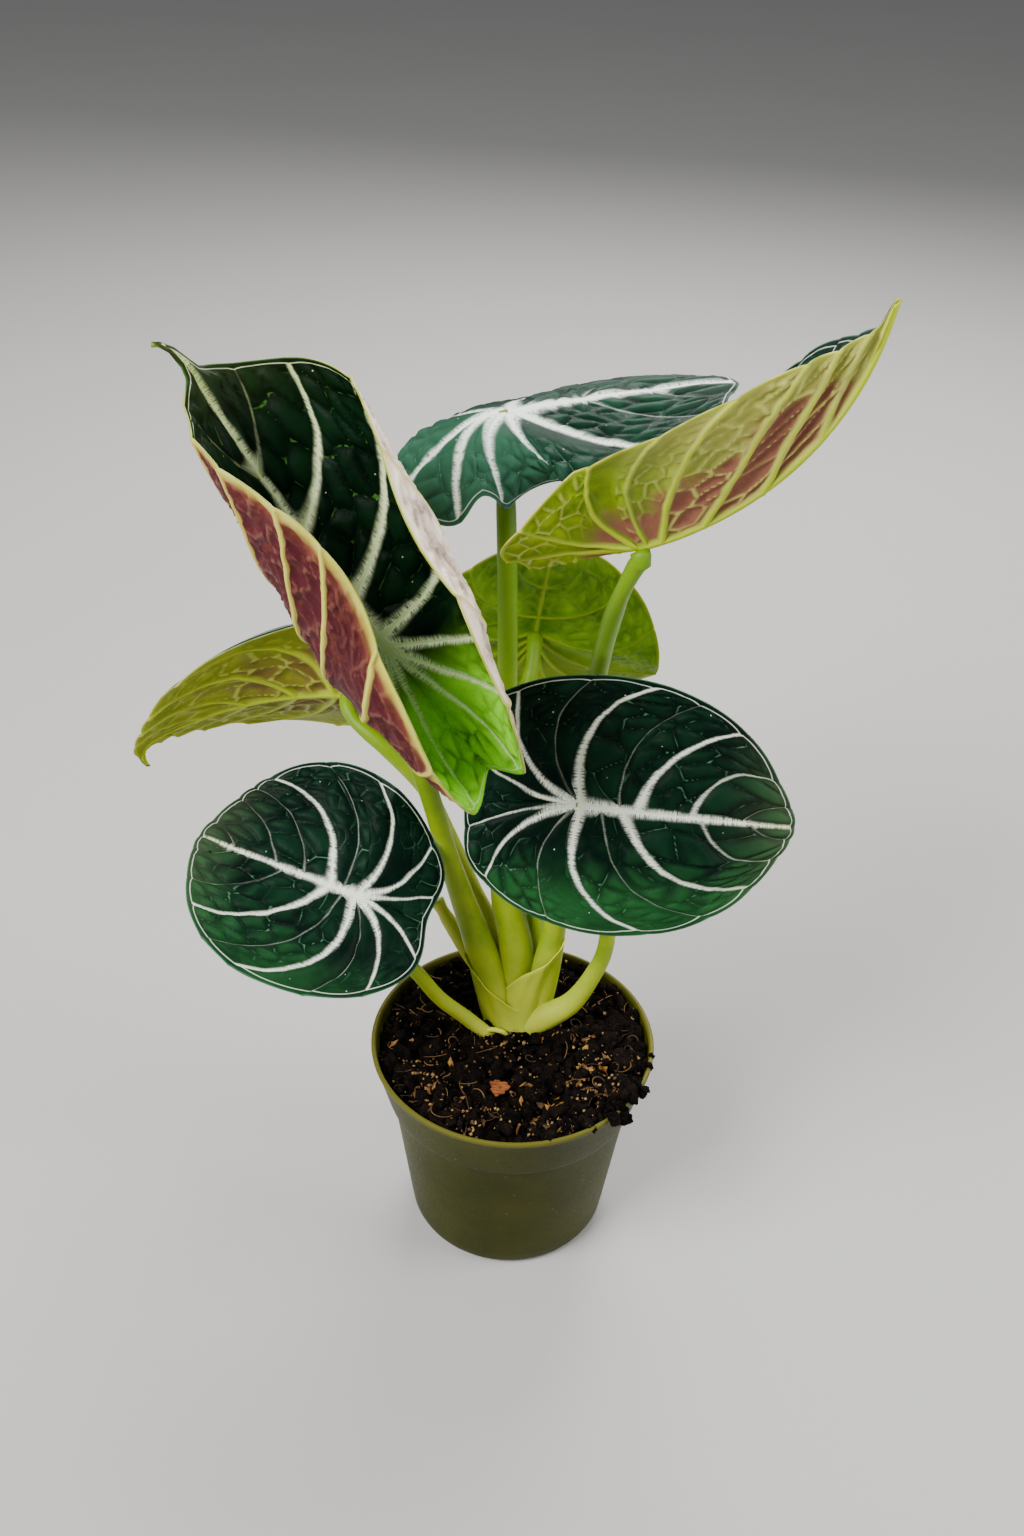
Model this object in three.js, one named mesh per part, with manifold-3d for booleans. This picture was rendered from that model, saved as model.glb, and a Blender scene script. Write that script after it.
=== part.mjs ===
// A young aroid with seven stiff, veined leaves in its round nursery pot.
// Millimetres, +Z up. The origin is the middle of the pot's flat bottom, and
// the pot's front faces -Y. Leaves, petioles, soil and pot are separate solids.

import * as THREE from "three";
import Module from "manifold-3d";

const wasm = await Module();
wasm.setup();

// Clearance between solids that touch on the real plant.
const GAP = 0.3;

// Pot: a 108 mm thin walled nursery pot.
const POT_HEIGHT = 86;
const RIM_RADIUS = 54;
const BAND_HEIGHT = 22;
const BAND_LOW_RADIUS = 48.6;
const BODY_TOP_RADIUS = 46.4;
const BODY_LOW_RADIUS = 38.6;
const BASE_EDGE_ROUND = 4;
const WALL = 1.3;
const RIM_BEAD = 0.7;
const FLOOR = 1.8;
const POT_SEGMENTS = 60;
const DRAIN_COUNT = 8;
const DRAIN_RADIUS = 3.5;
const DRAIN_CIRCLE = 24;
const DRAIN_SIDES = 16;
const NOTCH_LENGTH = 14;
const NOTCH_WIDTH = 6;
const NOTCH_HEIGHT = 2.2;

// Soil: fills the pot to just under the rim, with a crumbly top.
const SOIL_LEVEL = 80.5;
const SOIL_MOUND = 3;
const SOIL_LUMP = 1.5;
const SOIL_RINGS = 9;
const SOIL_SEGMENTS = 44;

// Crown: the short stem that the petioles share, and its foot in the soil.
const CROWN = [1, 17];
const FOOT_RADIUS = 10;
const FOOT_DEPTH = 54;
const CROWN_TOP = 90;

// Leaf blades.
const BLADE_THICKNESS = 1.0;
const MARGIN_THICKNESS = 0.7;
const QUILT = 0.9;
const MIDRIB = 1.1;
const RIB = 0.6;

// The first primary vein leaves the petiole joint at this share of the way
// round the margin, and veins bow outwards by this share of their length.
const JOINT_VEIN = 0.45;
const VEIN_BOW = 0.42;
const PRIMARY_VEINS = [0.1, 0.17, 0.26, 0.45, 0.66, 0.82, 0.93];
const RAYS_BETWEEN = [0, 1, 1, 2, 2, 1, 1, 1];
const ACROSS = [0, 0.16, 0.4, 0.66, 0.88, 1];
const SPINE_STEPS = 24;
const SECTION_STEPS = 16;

// Each leaf grows flat in x (along the midrib, towards the tip) and y (across),
// and is then bent. Triples are values at the lobes, at the petiole joint and at
// the tip. rise, heading and lean turn the midrib, in degrees: up, round from +X
// and over sideways. Fold is the slope of a half blade at the midrib, curl is how
// much further it turns by the margin, and edge rolls its last part over.
const LEAVES = [
  {
    name: "leaf_trough",
    color: 0x1f4a2c,
    joint: [-44.5, -10, 261.5],
    tip: 113.5, lobe: 52.5, half: 70.5, egg: -0.11, tail: 14,
    point: 6.5, pointAngle: 0.2, notch: 6.5, notchAngle: 0.35,
    rise: [51, 46, 63], riseMore: 0, heading: [177, 154, 178], lean: [-61, -26, -9],
    tailFrom: 0.86, tailDrop: -65,
    left: { fold: [47, -3, 4], curl: [76, 143, 78], edge: [0, 0, 0] },
    right: { fold: [65, 22, -7], curl: [76, 134, 206], edge: [0, 0, 0] },
  },
  {
    name: "leaf_round",
    color: 0x1d4030,
    joint: [-57.5, -5, 157],
    tip: 60.5, lobe: 32, half: 43.5, egg: -0.09, tail: 0,
    point: 2, pointAngle: 0.25, notch: 7, notchAngle: 0.35,
    rise: [10, 16, 7], riseMore: 0, heading: [171, 170, 159], lean: [-32, -32, -32],
    tailFrom: 0.8, tailDrop: 0,
    left: { fold: [-2, 7, 20], curl: [0, 7, 0], edge: [0, 0, 0] },
    right: { fold: [-8, 10, -8], curl: [0, 10, 0], edge: [0, 0, 0] },
  },
  {
    name: "leaf_oval",
    color: 0x16342a,
    joint: [19, -5, 199.5],
    tip: 74, lobe: 45, half: 45, egg: 0.02, tail: 0,
    point: 4, pointAngle: 0.25, notch: 9.5, notchAngle: 0.35,
    rise: [18, -2, -7], riseMore: 0, heading: [-7, -7, 6], lean: [60, 60, 60],
    tailFrom: 0.8, tailDrop: 0,
    left: { fold: [0, 4, 4], curl: [0, 4, 0], edge: [0, 0, 0] },
    right: { fold: [-5, -8, -3], curl: [0, -7, 0], edge: [0, 0, 0] },
  },
  {
    name: "leaf_canoe",
    color: 0x9aa83a,
    joint: [33, 2, 292.5],
    tip: 112, lobe: 43, half: 42, egg: 0.03, tail: 8,
    point: 6, pointAngle: 0.2, notch: 10.5, notchAngle: 0.35,
    rise: [17, 26, 72], riseMore: 12, heading: [-17, -22, -26], lean: [11, -9, -3],
    tailFrom: 0.8, tailDrop: 0,
    left: { fold: [-35, 18, 50], curl: [0, 10, 10], edge: [0, 0, 0] },
    right: { fold: [47, 49, 45], curl: [-6, -4, -6], edge: [0, 0, 0] },
  },
  {
    name: "leaf_saddle",
    color: 0x24523f,
    joint: [-9.5, 74, 306.5],
    tip: 99.5, lobe: 47.5, half: 41, egg: -0.06, tail: 0,
    point: 8, pointAngle: 0.2, notch: 11.5, notchAngle: 0.25,
    rise: [50, -5, -1], riseMore: 0, heading: [130, 42, 20], lean: [3, 3, -1],
    tailFrom: 0.8, tailDrop: 0,
    left: { fold: [-26, -12, -3], curl: [-32, -32, -11], edge: [0, 0, 0] },
    right: { fold: [-21, -13, -5], curl: [-14, -21, 1], edge: [0, 0, 0] },
  },
  {
    name: "leaf_back",
    color: 0x6f9a2a,
    joint: [3.5, 90, 211.5],
    tip: 64.5, lobe: 38.5, half: 48, egg: 0.25, tail: 0,
    point: 7.5, pointAngle: 0.25, notch: 10, notchAngle: 0.35,
    rise: [66, 66, 59], riseMore: 0, heading: [-79, -79, -79], lean: [-6, -6, -6],
    tailFrom: 0.8, tailDrop: 0,
    left: { fold: [3, -15, 0], curl: [0, -3, 0], edge: [0, 0, 0] },
    right: { fold: [0, -5, 0], curl: [0, 0, 0], edge: [0, 0, 0] },
  },
  {
    name: "leaf_drooping",
    color: 0x87912f,
    joint: [-67, 70, 193.5],
    tip: 95.5, lobe: 34.5, half: 40, egg: 0.05, tail: 6,
    point: 7.5, pointAngle: 0.25, notch: 10, notchAngle: 0.35,
    rise: [0, 0, -38], riseMore: 0, heading: [178, 178, 186], lean: [58, 58, 42],
    tailFrom: 0.8, tailDrop: -103,
    left: { fold: [0, 28, -12], curl: [-10, 13, -15], edge: [-60, -90, -40] },
    right: { fold: [0, 6, 10], curl: [0, 3, -3], edge: [0, 0, 0] },
  },
];

// Petioles, from the crown to the leaf they carry. Each passes through these
// points, swings towards the blade over its approach, and ends square to the
// blade's underside, clear of it by GAP and stop.
const PETIOLES = [
  {
    leaf: "leaf_trough", radius: 3.5, sheath: 7.4, flare: 0.17, approach: 13, stop: 0,
    through: [[-6.5, 17, 89], [-13.5, 19, 113.5], [-21.5, 21, 139], [-27, 20, 160], [-31, 17, 180]],
  },
  {
    leaf: "leaf_saddle", radius: 3.6, sheath: 7.8, flare: 0.32, approach: 12, stop: 0.5,
    through: [[0, 22, 113], [-4.5, 27, 133], [-6.5, 37, 175], [-6.5, 47, 219], [-7.7, 55, 259], [-9, 66, 280]],
  },
  {
    leaf: "leaf_canoe", radius: 3.2, sheath: 6.8, flare: 0.22, approach: 8, stop: 0.6,
    through: [[12.5, 19, 108.5], [15, 21, 129.5], [19.5, 26, 179.5], [25.5, 24.5, 233], [27.6, 14, 259.5], [30.5, 3, 277]],
  },
  {
    leaf: "leaf_oval", radius: 3.0, sheath: 5.2, flare: 0.2, approach: 13, stop: 0,
    through: [[13.5, 12, 86], [21.5, 9, 95.5], [29, 8, 110.5], [33.5, 9, 125], [32, 13, 155]],
  },
  {
    leaf: "leaf_back", radius: 3.2, sheath: 5.4, flare: 0.3, approach: 12, stop: 0,
    through: [[7, 32, 120], [5, 46, 146], [2.5, 62, 172], [1, 73, 193]],
  },
  {
    leaf: "leaf_drooping", radius: 3.0, sheath: 5.4, flare: 0.3, approach: 10, stop: 0,
    through: [[-8, 29, 111], [-17, 35, 129], [-27, 43, 149], [-36, 49, 165], [-52, 54, 181]],
  },
];

const PETIOLE_ROUND = {
  leaf: "leaf_round", radius: 2.7, sheath: 3.1, flare: 0.3, approach: 11, stop: 0,
  foot: [-9.5, 5.5, 62],
  through: [[-10, 6, 76], [-17.5, 4, 90.5], [-28, 0, 104.5], [-36.5, -2, 119], [-49, -1, 135]],
};

// The stub of a cut petiole, left of the crown.
const STUB = {
  radius: 2.9, sheath: 4.6, flare: 0.3,
  through: [[-11, 22, 95], [-18, 25, 104.5], [-25, 29, 115.5], [-31, 32.5, 125]],
};

// The last stretch of a petiole, square to its blade.
const LANDING = 2.2;
const PETIOLE_SIDES = 10;
const PETIOLE_STEPS = 18;

// Bark chip on the soil in front of the crown.
const CHIP = { at: [-4.5, -25], size: [7.5, 4.5, 2.6], turn: 0.5 };

const radians = THREE.MathUtils.degToRad;

function clamp01(value) {
  return Math.min(1, Math.max(0, value));
}

// A value given at the lobes, joint and tip, blended along the midrib.
function along(leaf, triple, x) {
  const reach = x < 0 ? clamp01(-x / leaf.lobe) : clamp01(x / leaf.tip);
  return triple[1] + ((x < 0 ? triple[0] : triple[2]) - triple[1]) * reach;
}

// Flat margin: an egg shaped oval with a drawn out tip and a notch.
function marginPoint(leaf, angle) {
  const bodyTip = leaf.tip - leaf.tail;
  const halfLength = (bodyTip + leaf.lobe) / 2;
  const middle = (bodyTip - leaf.lobe) / 2;
  const fromTip = 1 - Math.exp(-((angle / leaf.pointAngle) ** 2));
  const fromNotch = Math.exp(-(((Math.PI - angle) / leaf.notchAngle) ** 2));
  const tail = leaf.tail * Math.exp(-((angle / 0.03) ** 2));
  return {
    x: middle + halfLength * Math.cos(angle) - leaf.point * fromTip + leaf.notch * fromNotch + tail,
    y: leaf.half * Math.sin(angle) * (1 - leaf.egg * Math.cos(angle)),
  };
}

// Flat point on the vein ray u (0 tip to 1 notch), r of the way to the margin.
function rayPoint(leaf, u, r) {
  const end = marginPoint(leaf, Math.PI * u);
  const start = leaf.tip * clamp01(1 - u / JOINT_VEIN) ** 1.5;
  const dx = end.x - start;
  const bow = VEIN_BOW * Math.sin(Math.PI * u) ** 0.7 * 2 * r * (1 - r);
  return {
    x: start + dx * r - bow * end.y,
    y: Math.max(0, end.y * r + bow * dx),
  };
}

// Direction of the midrib at x, as rise and heading in radians.
function midribAngles(leaf, x) {
  const reach = clamp01(x / leaf.tip);
  const tail = clamp01((reach - leaf.tailFrom) / (1 - leaf.tailFrom)) ** 2;
  return {
    rise: radians(along(leaf, leaf.rise, x) + leaf.riseMore * reach ** 2 + leaf.tailDrop * tail),
    heading: radians(along(leaf, leaf.heading, x)),
  };
}

function directionOf(angles) {
  const flat = Math.cos(angles.rise);
  return new THREE.Vector3(
    flat * Math.cos(angles.heading),
    flat * Math.sin(angles.heading),
    Math.sin(angles.rise),
  );
}

// Place and frame of the midrib at x, found by adding up small steps.
function midribFrame(leaf, x) {
  const place = new THREE.Vector3(...leaf.joint);
  for (let step = 0; step < SPINE_STEPS; step += 1) {
    const at = (x * (step + 0.5)) / SPINE_STEPS;
    place.addScaledVector(directionOf(midribAngles(leaf, at)), x / SPINE_STEPS);
  }
  const angles = midribAngles(leaf, x);
  const forward = directionOf(angles);
  const level = new THREE.Vector3(-Math.sin(angles.heading), Math.cos(angles.heading), 0);
  const up = new THREE.Vector3().crossVectors(forward, level);
  const lean = radians(along(leaf, leaf.lean, x));
  const side = level.clone().multiplyScalar(Math.cos(lean)).addScaledVector(up, Math.sin(lean));
  const normal = up.multiplyScalar(Math.cos(lean)).addScaledVector(level, -Math.sin(lean));
  return { place, side, normal };
}

// Bends the flat point x, y of one half (sign 1 left, -1 right) into place.
function bend(leaf, x, y, sign) {
  const frame = midribFrame(leaf, x);
  const half = sign > 0 ? leaf.left : leaf.right;
  const fold = along(leaf, half.fold, x);
  const curl = along(leaf, half.curl, x);
  const edge = along(leaf, half.edge, x);
  let out = 0;
  let lift = 0;
  for (let step = 0; step < SECTION_STEPS; step += 1) {
    const q = ((step + 0.5) / SECTION_STEPS) * (y / leaf.half);
    const roll = Math.max(0, (q - 0.6) / 0.4) ** 2;
    const slope = radians(fold + curl * q + edge * roll);
    out += (Math.cos(slope) * y) / SECTION_STEPS;
    lift += (Math.sin(slope) * y) / SECTION_STEPS;
  }
  return frame.place.addScaledVector(frame.side, sign * out).addScaledVector(frame.normal, lift);
}

// The rays of one half: close rays in the tail, the veins, and rays between.
function rayList(leaf) {
  const rays = leaf.tail > 0 ? [0, 0.005, 0.012, 0.03, 0.06] : [0, 0.04];
  const stops = [...PRIMARY_VEINS, 1];
  const list = rays.map((u) => ({ u, vein: 0, quilt: 0 }));
  stops.forEach((stop, index) => {
    const before = index === 0 ? stop : stops[index - 1];
    const parts = RAYS_BETWEEN[index] + 1;
    for (let part = 1; part < parts && before < stop; part += 1) {
      const phase = part / parts;
      list.push({ u: before + (stop - before) * phase, vein: 0, quilt: Math.sin(Math.PI * phase) });
    }
    list.push({ u: stop, vein: stop < 1 ? 1 : 0, quilt: 0 });
  });
  return list;
}

function addVertex(mesh, point, data) {
  const key = [point.x, point.y, point.z].map((value) => Math.round(value * 1000) || 0).join(" ");
  if (!mesh.lookup.has(key)) {
    mesh.lookup.set(key, mesh.points.length);
    mesh.points.push(point);
    mesh.data.push(data);
  }
  return mesh.lookup.get(key);
}

// The middle surface of a blade, shared by its upper and under face.
function bladeMiddle(leaf) {
  const mesh = { points: [], data: [], faces: [], lookup: new Map(), margin: [] };
  const rays = rayList(leaf);
  for (const sign of [1, -1]) {
    const index = rays.map((ray) => ACROSS.map((r) => {
      const flat = rayPoint(leaf, ray.u, r);
      const fade = 1 - r;
      const rib = r === 0 ? MIDRIB * (ray.u < JOINT_VEIN ? clamp01(ray.u * 12) : 1) : RIB * ray.vein * fade;
      const quilt = QUILT * ray.quilt * Math.sin(Math.PI * Math.min(1, r * 1.02)) ** 0.6;
      return addVertex(mesh, bend(leaf, flat.x, flat.y, sign), { rib, quilt, r });
    }));
    for (let i = 0; i + 1 < rays.length; i += 1) {
      for (let j = 0; j + 1 < ACROSS.length; j += 1) {
        const corners = [index[i][j], index[i][j + 1], index[i + 1][j + 1], index[i + 1][j]];
        const triangles = [[corners[0], corners[1], corners[2]], [corners[0], corners[2], corners[3]]];
        for (const triangle of triangles) {
          if (new Set(triangle).size === 3) {
            mesh.faces.push(sign > 0 ? triangle : [triangle[0], triangle[2], triangle[1]]);
          }
        }
      }
    }
  }
  return mesh;
}

function vertexNormals(points, faces) {
  const normals = points.map(() => new THREE.Vector3());
  const edgeA = new THREE.Vector3();
  const edgeB = new THREE.Vector3();
  for (const [a, b, c] of faces) {
    edgeA.subVectors(points[b], points[a]);
    edgeB.subVectors(points[c], points[a]);
    edgeA.cross(edgeB);
    for (const corner of [a, b, c]) {
      normals[corner].add(edgeA);
    }
  }
  return normals.map((normal) => normal.normalize());
}

function geometryFrom(points, faces) {
  const geometry = new THREE.BufferGeometry();
  const positions = points.flatMap((point) => [point.x, point.y, point.z]);
  geometry.setAttribute("position", new THREE.Float32BufferAttribute(positions, 3));
  geometry.setIndex(faces.flat());
  geometry.computeVertexNormals();
  return geometry;
}

// A closed blade: both faces, alike in their triangles, and the margin strip.
function bladeGeometry(leaf) {
  const middle = bladeMiddle(leaf);
  const count = middle.points.length;
  let normals = vertexNormals(middle.points, middle.faces);
  const quilted = middle.points.map((point, i) => (
    point.clone().addScaledVector(normals[i], middle.data[i].quilt)
  ));
  normals = vertexNormals(quilted, middle.faces);
  const upper = [];
  const under = [];
  quilted.forEach((point, i) => {
    const { r, rib } = middle.data[i];
    const half = (BLADE_THICKNESS + (MARGIN_THICKNESS - BLADE_THICKNESS) * r) / 2;
    upper.push(point.clone().addScaledVector(normals[i], half));
    under.push(point.clone().addScaledVector(normals[i], -half - rib));
  });
  const faces = middle.faces.map((face) => [...face]);
  middle.faces.forEach(([a, b, c]) => faces.push([a + count, c + count, b + count]));
  const edges = new Set();
  middle.faces.forEach(([a, b, c]) => [[a, b], [b, c], [c, a]].forEach(([p, q]) => edges.add(`${p} ${q}`)));
  for (const edge of edges) {
    const [p, q] = edge.split(" ").map(Number);
    if (!edges.has(`${q} ${p}`)) {
      faces.push([q, p, p + count], [q, p + count, q + count]);
    }
  }
  return geometryFrom([...upper, ...under], faces);
}

// Underside point and outward direction where a petiole meets its blade.
function jointOf(leaf) {
  const frame = midribFrame(leaf, 0);
  const left = radians(leaf.left.fold[1]);
  const right = radians(leaf.right.fold[1]);
  const down = new THREE.Vector3()
    .addScaledVector(frame.normal, -Math.cos(left) - Math.cos(right))
    .addScaledVector(frame.side, Math.sin(left) - Math.sin(right))
    .normalize();
  const depth = BLADE_THICKNESS / 2 + MIDRIB + GAP;
  return { down, end: frame.place.clone().addScaledVector(down, depth) };
}

// A closed round tube along a smooth curve, with a radius for each share t.
function tube(points, radiusAt, steps, sides) {
  const curve = new THREE.CatmullRomCurve3(points, false, "centripetal");
  const tangents = [];
  const centres = [];
  for (let i = 0; i <= steps; i += 1) {
    centres.push(curve.getPointAt(i / steps));
    tangents.push(curve.getTangentAt(i / steps));
  }
  let across = new THREE.Vector3(1, 0, 0);
  const vertices = [];
  const faces = [];
  centres.forEach((centre, i) => {
    across = across.clone().addScaledVector(tangents[i], -across.dot(tangents[i])).normalize();
    const other = new THREE.Vector3().crossVectors(tangents[i], across);
    const radius = radiusAt(i / steps);
    for (let k = 0; k < sides; k += 1) {
      const angle = (2 * Math.PI * k) / sides;
      vertices.push(centre.clone()
        .addScaledVector(across, radius * Math.cos(angle))
        .addScaledVector(other, radius * Math.sin(angle)));
      if (i < steps) {
        const next = (k + 1) % sides;
        const [a, b] = [i * sides + k, i * sides + next];
        faces.push([a, b, b + sides], [a, b + sides, a + sides]);
      }
    }
  });
  const start = vertices.push(centres[0].clone()) - 1;
  const end = vertices.push(centres[steps].clone()) - 1;
  for (let k = 0; k < sides; k += 1) {
    const next = (k + 1) % sides;
    faces.push([start, next, k], [end, steps * sides + k, steps * sides + next]);
  }
  return geometryFrom(vertices, faces);
}

function vector(list) {
  return new THREE.Vector3(...list);
}

// A petiole swells into its sheath at the foot and narrows a little at the top.
function petioleTube(petiole, foot, extra) {
  const points = [...foot.map(vector), ...petiole.through.map(vector)];
  if (petiole.leaf) {
    const joint = jointOf(LEAVES.find((leaf) => leaf.name === petiole.leaf));
    const back = vector(petiole.through.at(-1)).sub(joint.end).normalize();
    const arrival = back.add(joint.down).normalize();
    points.push(joint.end.clone().addScaledVector(arrival, petiole.approach));
    points.push(joint.end.clone().addScaledVector(joint.down, LANDING + petiole.stop));
    points.push(joint.end.clone().addScaledVector(joint.down, petiole.stop));
  }
  const radiusAt = (t) => {
    const sheath = Math.exp(-((t / petiole.flare) ** 2));
    const neck = 0.42 * clamp01((t - 0.9) / 0.1);
    return petiole.radius + (petiole.sheath - petiole.radius) * sheath - neck * petiole.radius + extra;
  };
  return tube(points, radiusAt, PETIOLE_STEPS, PETIOLE_SIDES);
}

function toManifold(geometry) {
  const index = geometry.getIndex();
  return new wasm.Manifold(new wasm.Mesh({
    numProp: 3,
    vertProperties: new Float32Array(geometry.getAttribute("position").array),
    triVerts: new Uint32Array(index.array),
  }));
}

function fromManifold(solid) {
  const mesh = solid.getMesh();
  const geometry = new THREE.BufferGeometry();
  geometry.setAttribute("position", new THREE.Float32BufferAttribute(mesh.vertProperties, 3));
  geometry.setIndex(Array.from(mesh.triVerts));
  geometry.computeVertexNormals();
  return geometry;
}

// The crown: a foot in the soil, and every petiole that shares it.
function crownSolid(extra) {
  const [x, y] = CROWN;
  const footPoints = [[x, y, FOOT_DEPTH - extra], [x, y, 74], [x, y, CROWN_TOP + extra]].map(vector);
  const footRadius = (t) => FOOT_RADIUS * (1 - 0.5 * Math.max(0, t - 0.6) ** 1.2) + extra;
  let solid = toManifold(tube(footPoints, footRadius, 8, 24));
  for (const petiole of [...PETIOLES, STUB]) {
    const first = petiole.through[0];
    const foot = [[x + (first[0] - x) * 0.25, y + (first[1] - y) * 0.25, 68]];
    solid = solid.add(toManifold(petioleTube(petiole, foot, extra)));
  }
  return solid;
}

function roundPetioleSolid(extra) {
  const foot = [...PETIOLE_ROUND.foot];
  foot[2] -= extra;
  return toManifold(petioleTube(PETIOLE_ROUND, [foot], extra));
}

// Pot: one lathe turned wall and floor, then the drain holes and edge notches.
function potGeometry() {
  const bandFoot = POT_HEIGHT - BAND_HEIGHT;
  const round = BASE_EDGE_ROUND;
  const outer = [[0, 0], [BODY_LOW_RADIUS - round, 0]];
  for (const angle of [30, 60]) {
    const turn = radians(angle);
    outer.push([BODY_LOW_RADIUS - round + round * Math.sin(turn), round - round * Math.cos(turn)]);
  }
  outer.push(
    [BODY_LOW_RADIUS + 0.3, round],
    [BODY_TOP_RADIUS, bandFoot - 0.8],
    [BAND_LOW_RADIUS - 0.4, bandFoot],
    [BAND_LOW_RADIUS, bandFoot + 0.6],
    [RIM_RADIUS - RIM_BEAD, POT_HEIGHT - 2.4],
    [RIM_RADIUS, POT_HEIGHT - 1.8],
    [RIM_RADIUS, POT_HEIGHT - 0.4],
    [RIM_RADIUS - 0.4, POT_HEIGHT],
  );
  const inner = [
    [RIM_RADIUS - WALL - 0.3, POT_HEIGHT],
    [RIM_RADIUS - RIM_BEAD - WALL, POT_HEIGHT - 2.4],
    [BAND_LOW_RADIUS - WALL, bandFoot + 1.4],
    [BODY_TOP_RADIUS - WALL, bandFoot - 0.4],
    [BODY_LOW_RADIUS - WALL + 0.3, round + 1],
    [BODY_LOW_RADIUS - WALL - 2.4, FLOOR],
    [0, FLOOR],
  ];
  const profile = [...outer, ...inner].map(([radius, z]) => new THREE.Vector2(radius, z));
  const lathe = new THREE.LatheGeometry(profile, POT_SEGMENTS);
  lathe.rotateX(Math.PI / 2);
  let pot = toManifold(mergedSolid(lathe));
  for (let i = 0; i < DRAIN_COUNT; i += 1) {
    const angle = (2 * Math.PI * (i + 0.5)) / DRAIN_COUNT;
    const hole = new THREE.CylinderGeometry(DRAIN_RADIUS, DRAIN_RADIUS, FLOOR + 2, DRAIN_SIDES);
    hole.rotateX(Math.PI / 2).translate(DRAIN_CIRCLE, 0, FLOOR / 2);
    const notch = new THREE.BoxGeometry(NOTCH_LENGTH, NOTCH_WIDTH, NOTCH_HEIGHT * 2);
    notch.translate(BODY_LOW_RADIUS - 5 + NOTCH_LENGTH / 2, 0, 0);
    for (const cut of [hole, notch]) {
      cut.rotateZ(angle);
      pot = pot.subtract(toManifold(mergedSolid(cut)));
    }
  }
  return fromManifold(pot);
}

// Welds a lathe's seam and its axis, and drops the triangles that vanish.
function mergedSolid(source) {
  const position = source.getAttribute("position");
  const index = source.getIndex().array;
  const mesh = { points: [], data: [], lookup: new Map() };
  const map = [];
  for (let i = 0; i < position.count; i += 1) {
    map.push(addVertex(mesh, new THREE.Vector3().fromBufferAttribute(position, i), null));
  }
  const faces = [];
  for (let i = 0; i < index.length; i += 3) {
    const face = [map[index[i]], map[index[i + 1]], map[index[i + 2]]];
    if (new Set(face).size === 3) {
      faces.push(face);
    }
  }
  return geometryFrom(mesh.points, faces);
}

// Inner radius of the pot at a height.
function potInside(z) {
  const bandFoot = POT_HEIGHT - BAND_HEIGHT;
  if (z > bandFoot + 1.4) {
    const share = (z - bandFoot - 1.4) / (BAND_HEIGHT - 3.8);
    return BAND_LOW_RADIUS - WALL + (RIM_RADIUS - RIM_BEAD - BAND_LOW_RADIUS) * share;
  }
  const share = (z - BASE_EDGE_ROUND - 1) / (bandFoot - 0.4 - BASE_EDGE_ROUND - 1);
  return BODY_LOW_RADIUS - WALL + 0.3 + (BODY_TOP_RADIUS - BODY_LOW_RADIUS - 0.3) * share;
}

// Height of the soil: a low mound with crumbs from a few crossed waves.
function soilTop(x, y) {
  const mound = SOIL_MOUND * Math.exp(-((x - CROWN[0]) ** 2 + (y - CROWN[1]) ** 2) / 900);
  const lumps = Math.sin(x * 0.37 + 1.3) * Math.cos(y * 0.33 - 0.6)
    + 0.7 * Math.sin(x * 0.71 - y * 0.59 + 2.1) + 0.5 * Math.cos(y * 0.93 + x * 0.41);
  return SOIL_LEVEL + mound + SOIL_LUMP * lumps * 0.6;
}

// Soil: a plug that fits the pot, its top crumbly, with a hole for each stem.
function soilGeometry() {
  const points = [];
  const faces = [];
  const levels = [FLOOR + GAP, BASE_EDGE_ROUND + 2, POT_HEIGHT - BAND_HEIGHT - 0.8];
  const ring = (radius, height) => {
    for (let k = 0; k < SOIL_SEGMENTS; k += 1) {
      const angle = (2 * Math.PI * k) / SOIL_SEGMENTS;
      const [x, y] = [radius * Math.cos(angle), radius * Math.sin(angle)];
      points.push(new THREE.Vector3(x, y, height === null ? soilTop(x, y) : height));
    }
  };
  levels.forEach((z, i) => ring(potInside(z) - GAP - (i === 0 ? 2.4 : 0), z));
  ring(BODY_TOP_RADIUS - WALL - GAP, POT_HEIGHT - BAND_HEIGHT - 0.4);
  ring(potInside(POT_HEIGHT - BAND_HEIGHT + 1.6) - GAP, POT_HEIGHT - BAND_HEIGHT + 1.6);
  const topRadius = potInside(SOIL_LEVEL - 3) - GAP;
  ring(topRadius, SOIL_LEVEL - 3);
  for (let i = SOIL_RINGS; i > 0; i -= 1) {
    ring((topRadius * (i - 0.15)) / SOIL_RINGS, null);
  }
  const rings = points.length / SOIL_SEGMENTS;
  for (let i = 0; i + 1 < rings; i += 1) {
    for (let k = 0; k < SOIL_SEGMENTS; k += 1) {
      const next = (k + 1) % SOIL_SEGMENTS;
      const [a, b] = [i * SOIL_SEGMENTS + k, i * SOIL_SEGMENTS + next];
      faces.push([a, b, b + SOIL_SEGMENTS], [a, b + SOIL_SEGMENTS, a + SOIL_SEGMENTS]);
    }
  }
  const low = points.push(new THREE.Vector3(0, 0, FLOOR + GAP)) - 1;
  const high = points.push(new THREE.Vector3(0, 0, soilTop(0, 0))) - 1;
  const last = (rings - 1) * SOIL_SEGMENTS;
  for (let k = 0; k < SOIL_SEGMENTS; k += 1) {
    const next = (k + 1) % SOIL_SEGMENTS;
    faces.push([low, next, k], [high, last + k, last + next]);
  }
  const solid = toManifold(geometryFrom(points, faces))
    .subtract(crownSolid(GAP))
    .subtract(roundPetioleSolid(GAP));
  return fromManifold(solid.decompose().sort((a, b) => b.volume() - a.volume())[0]);
}

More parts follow.
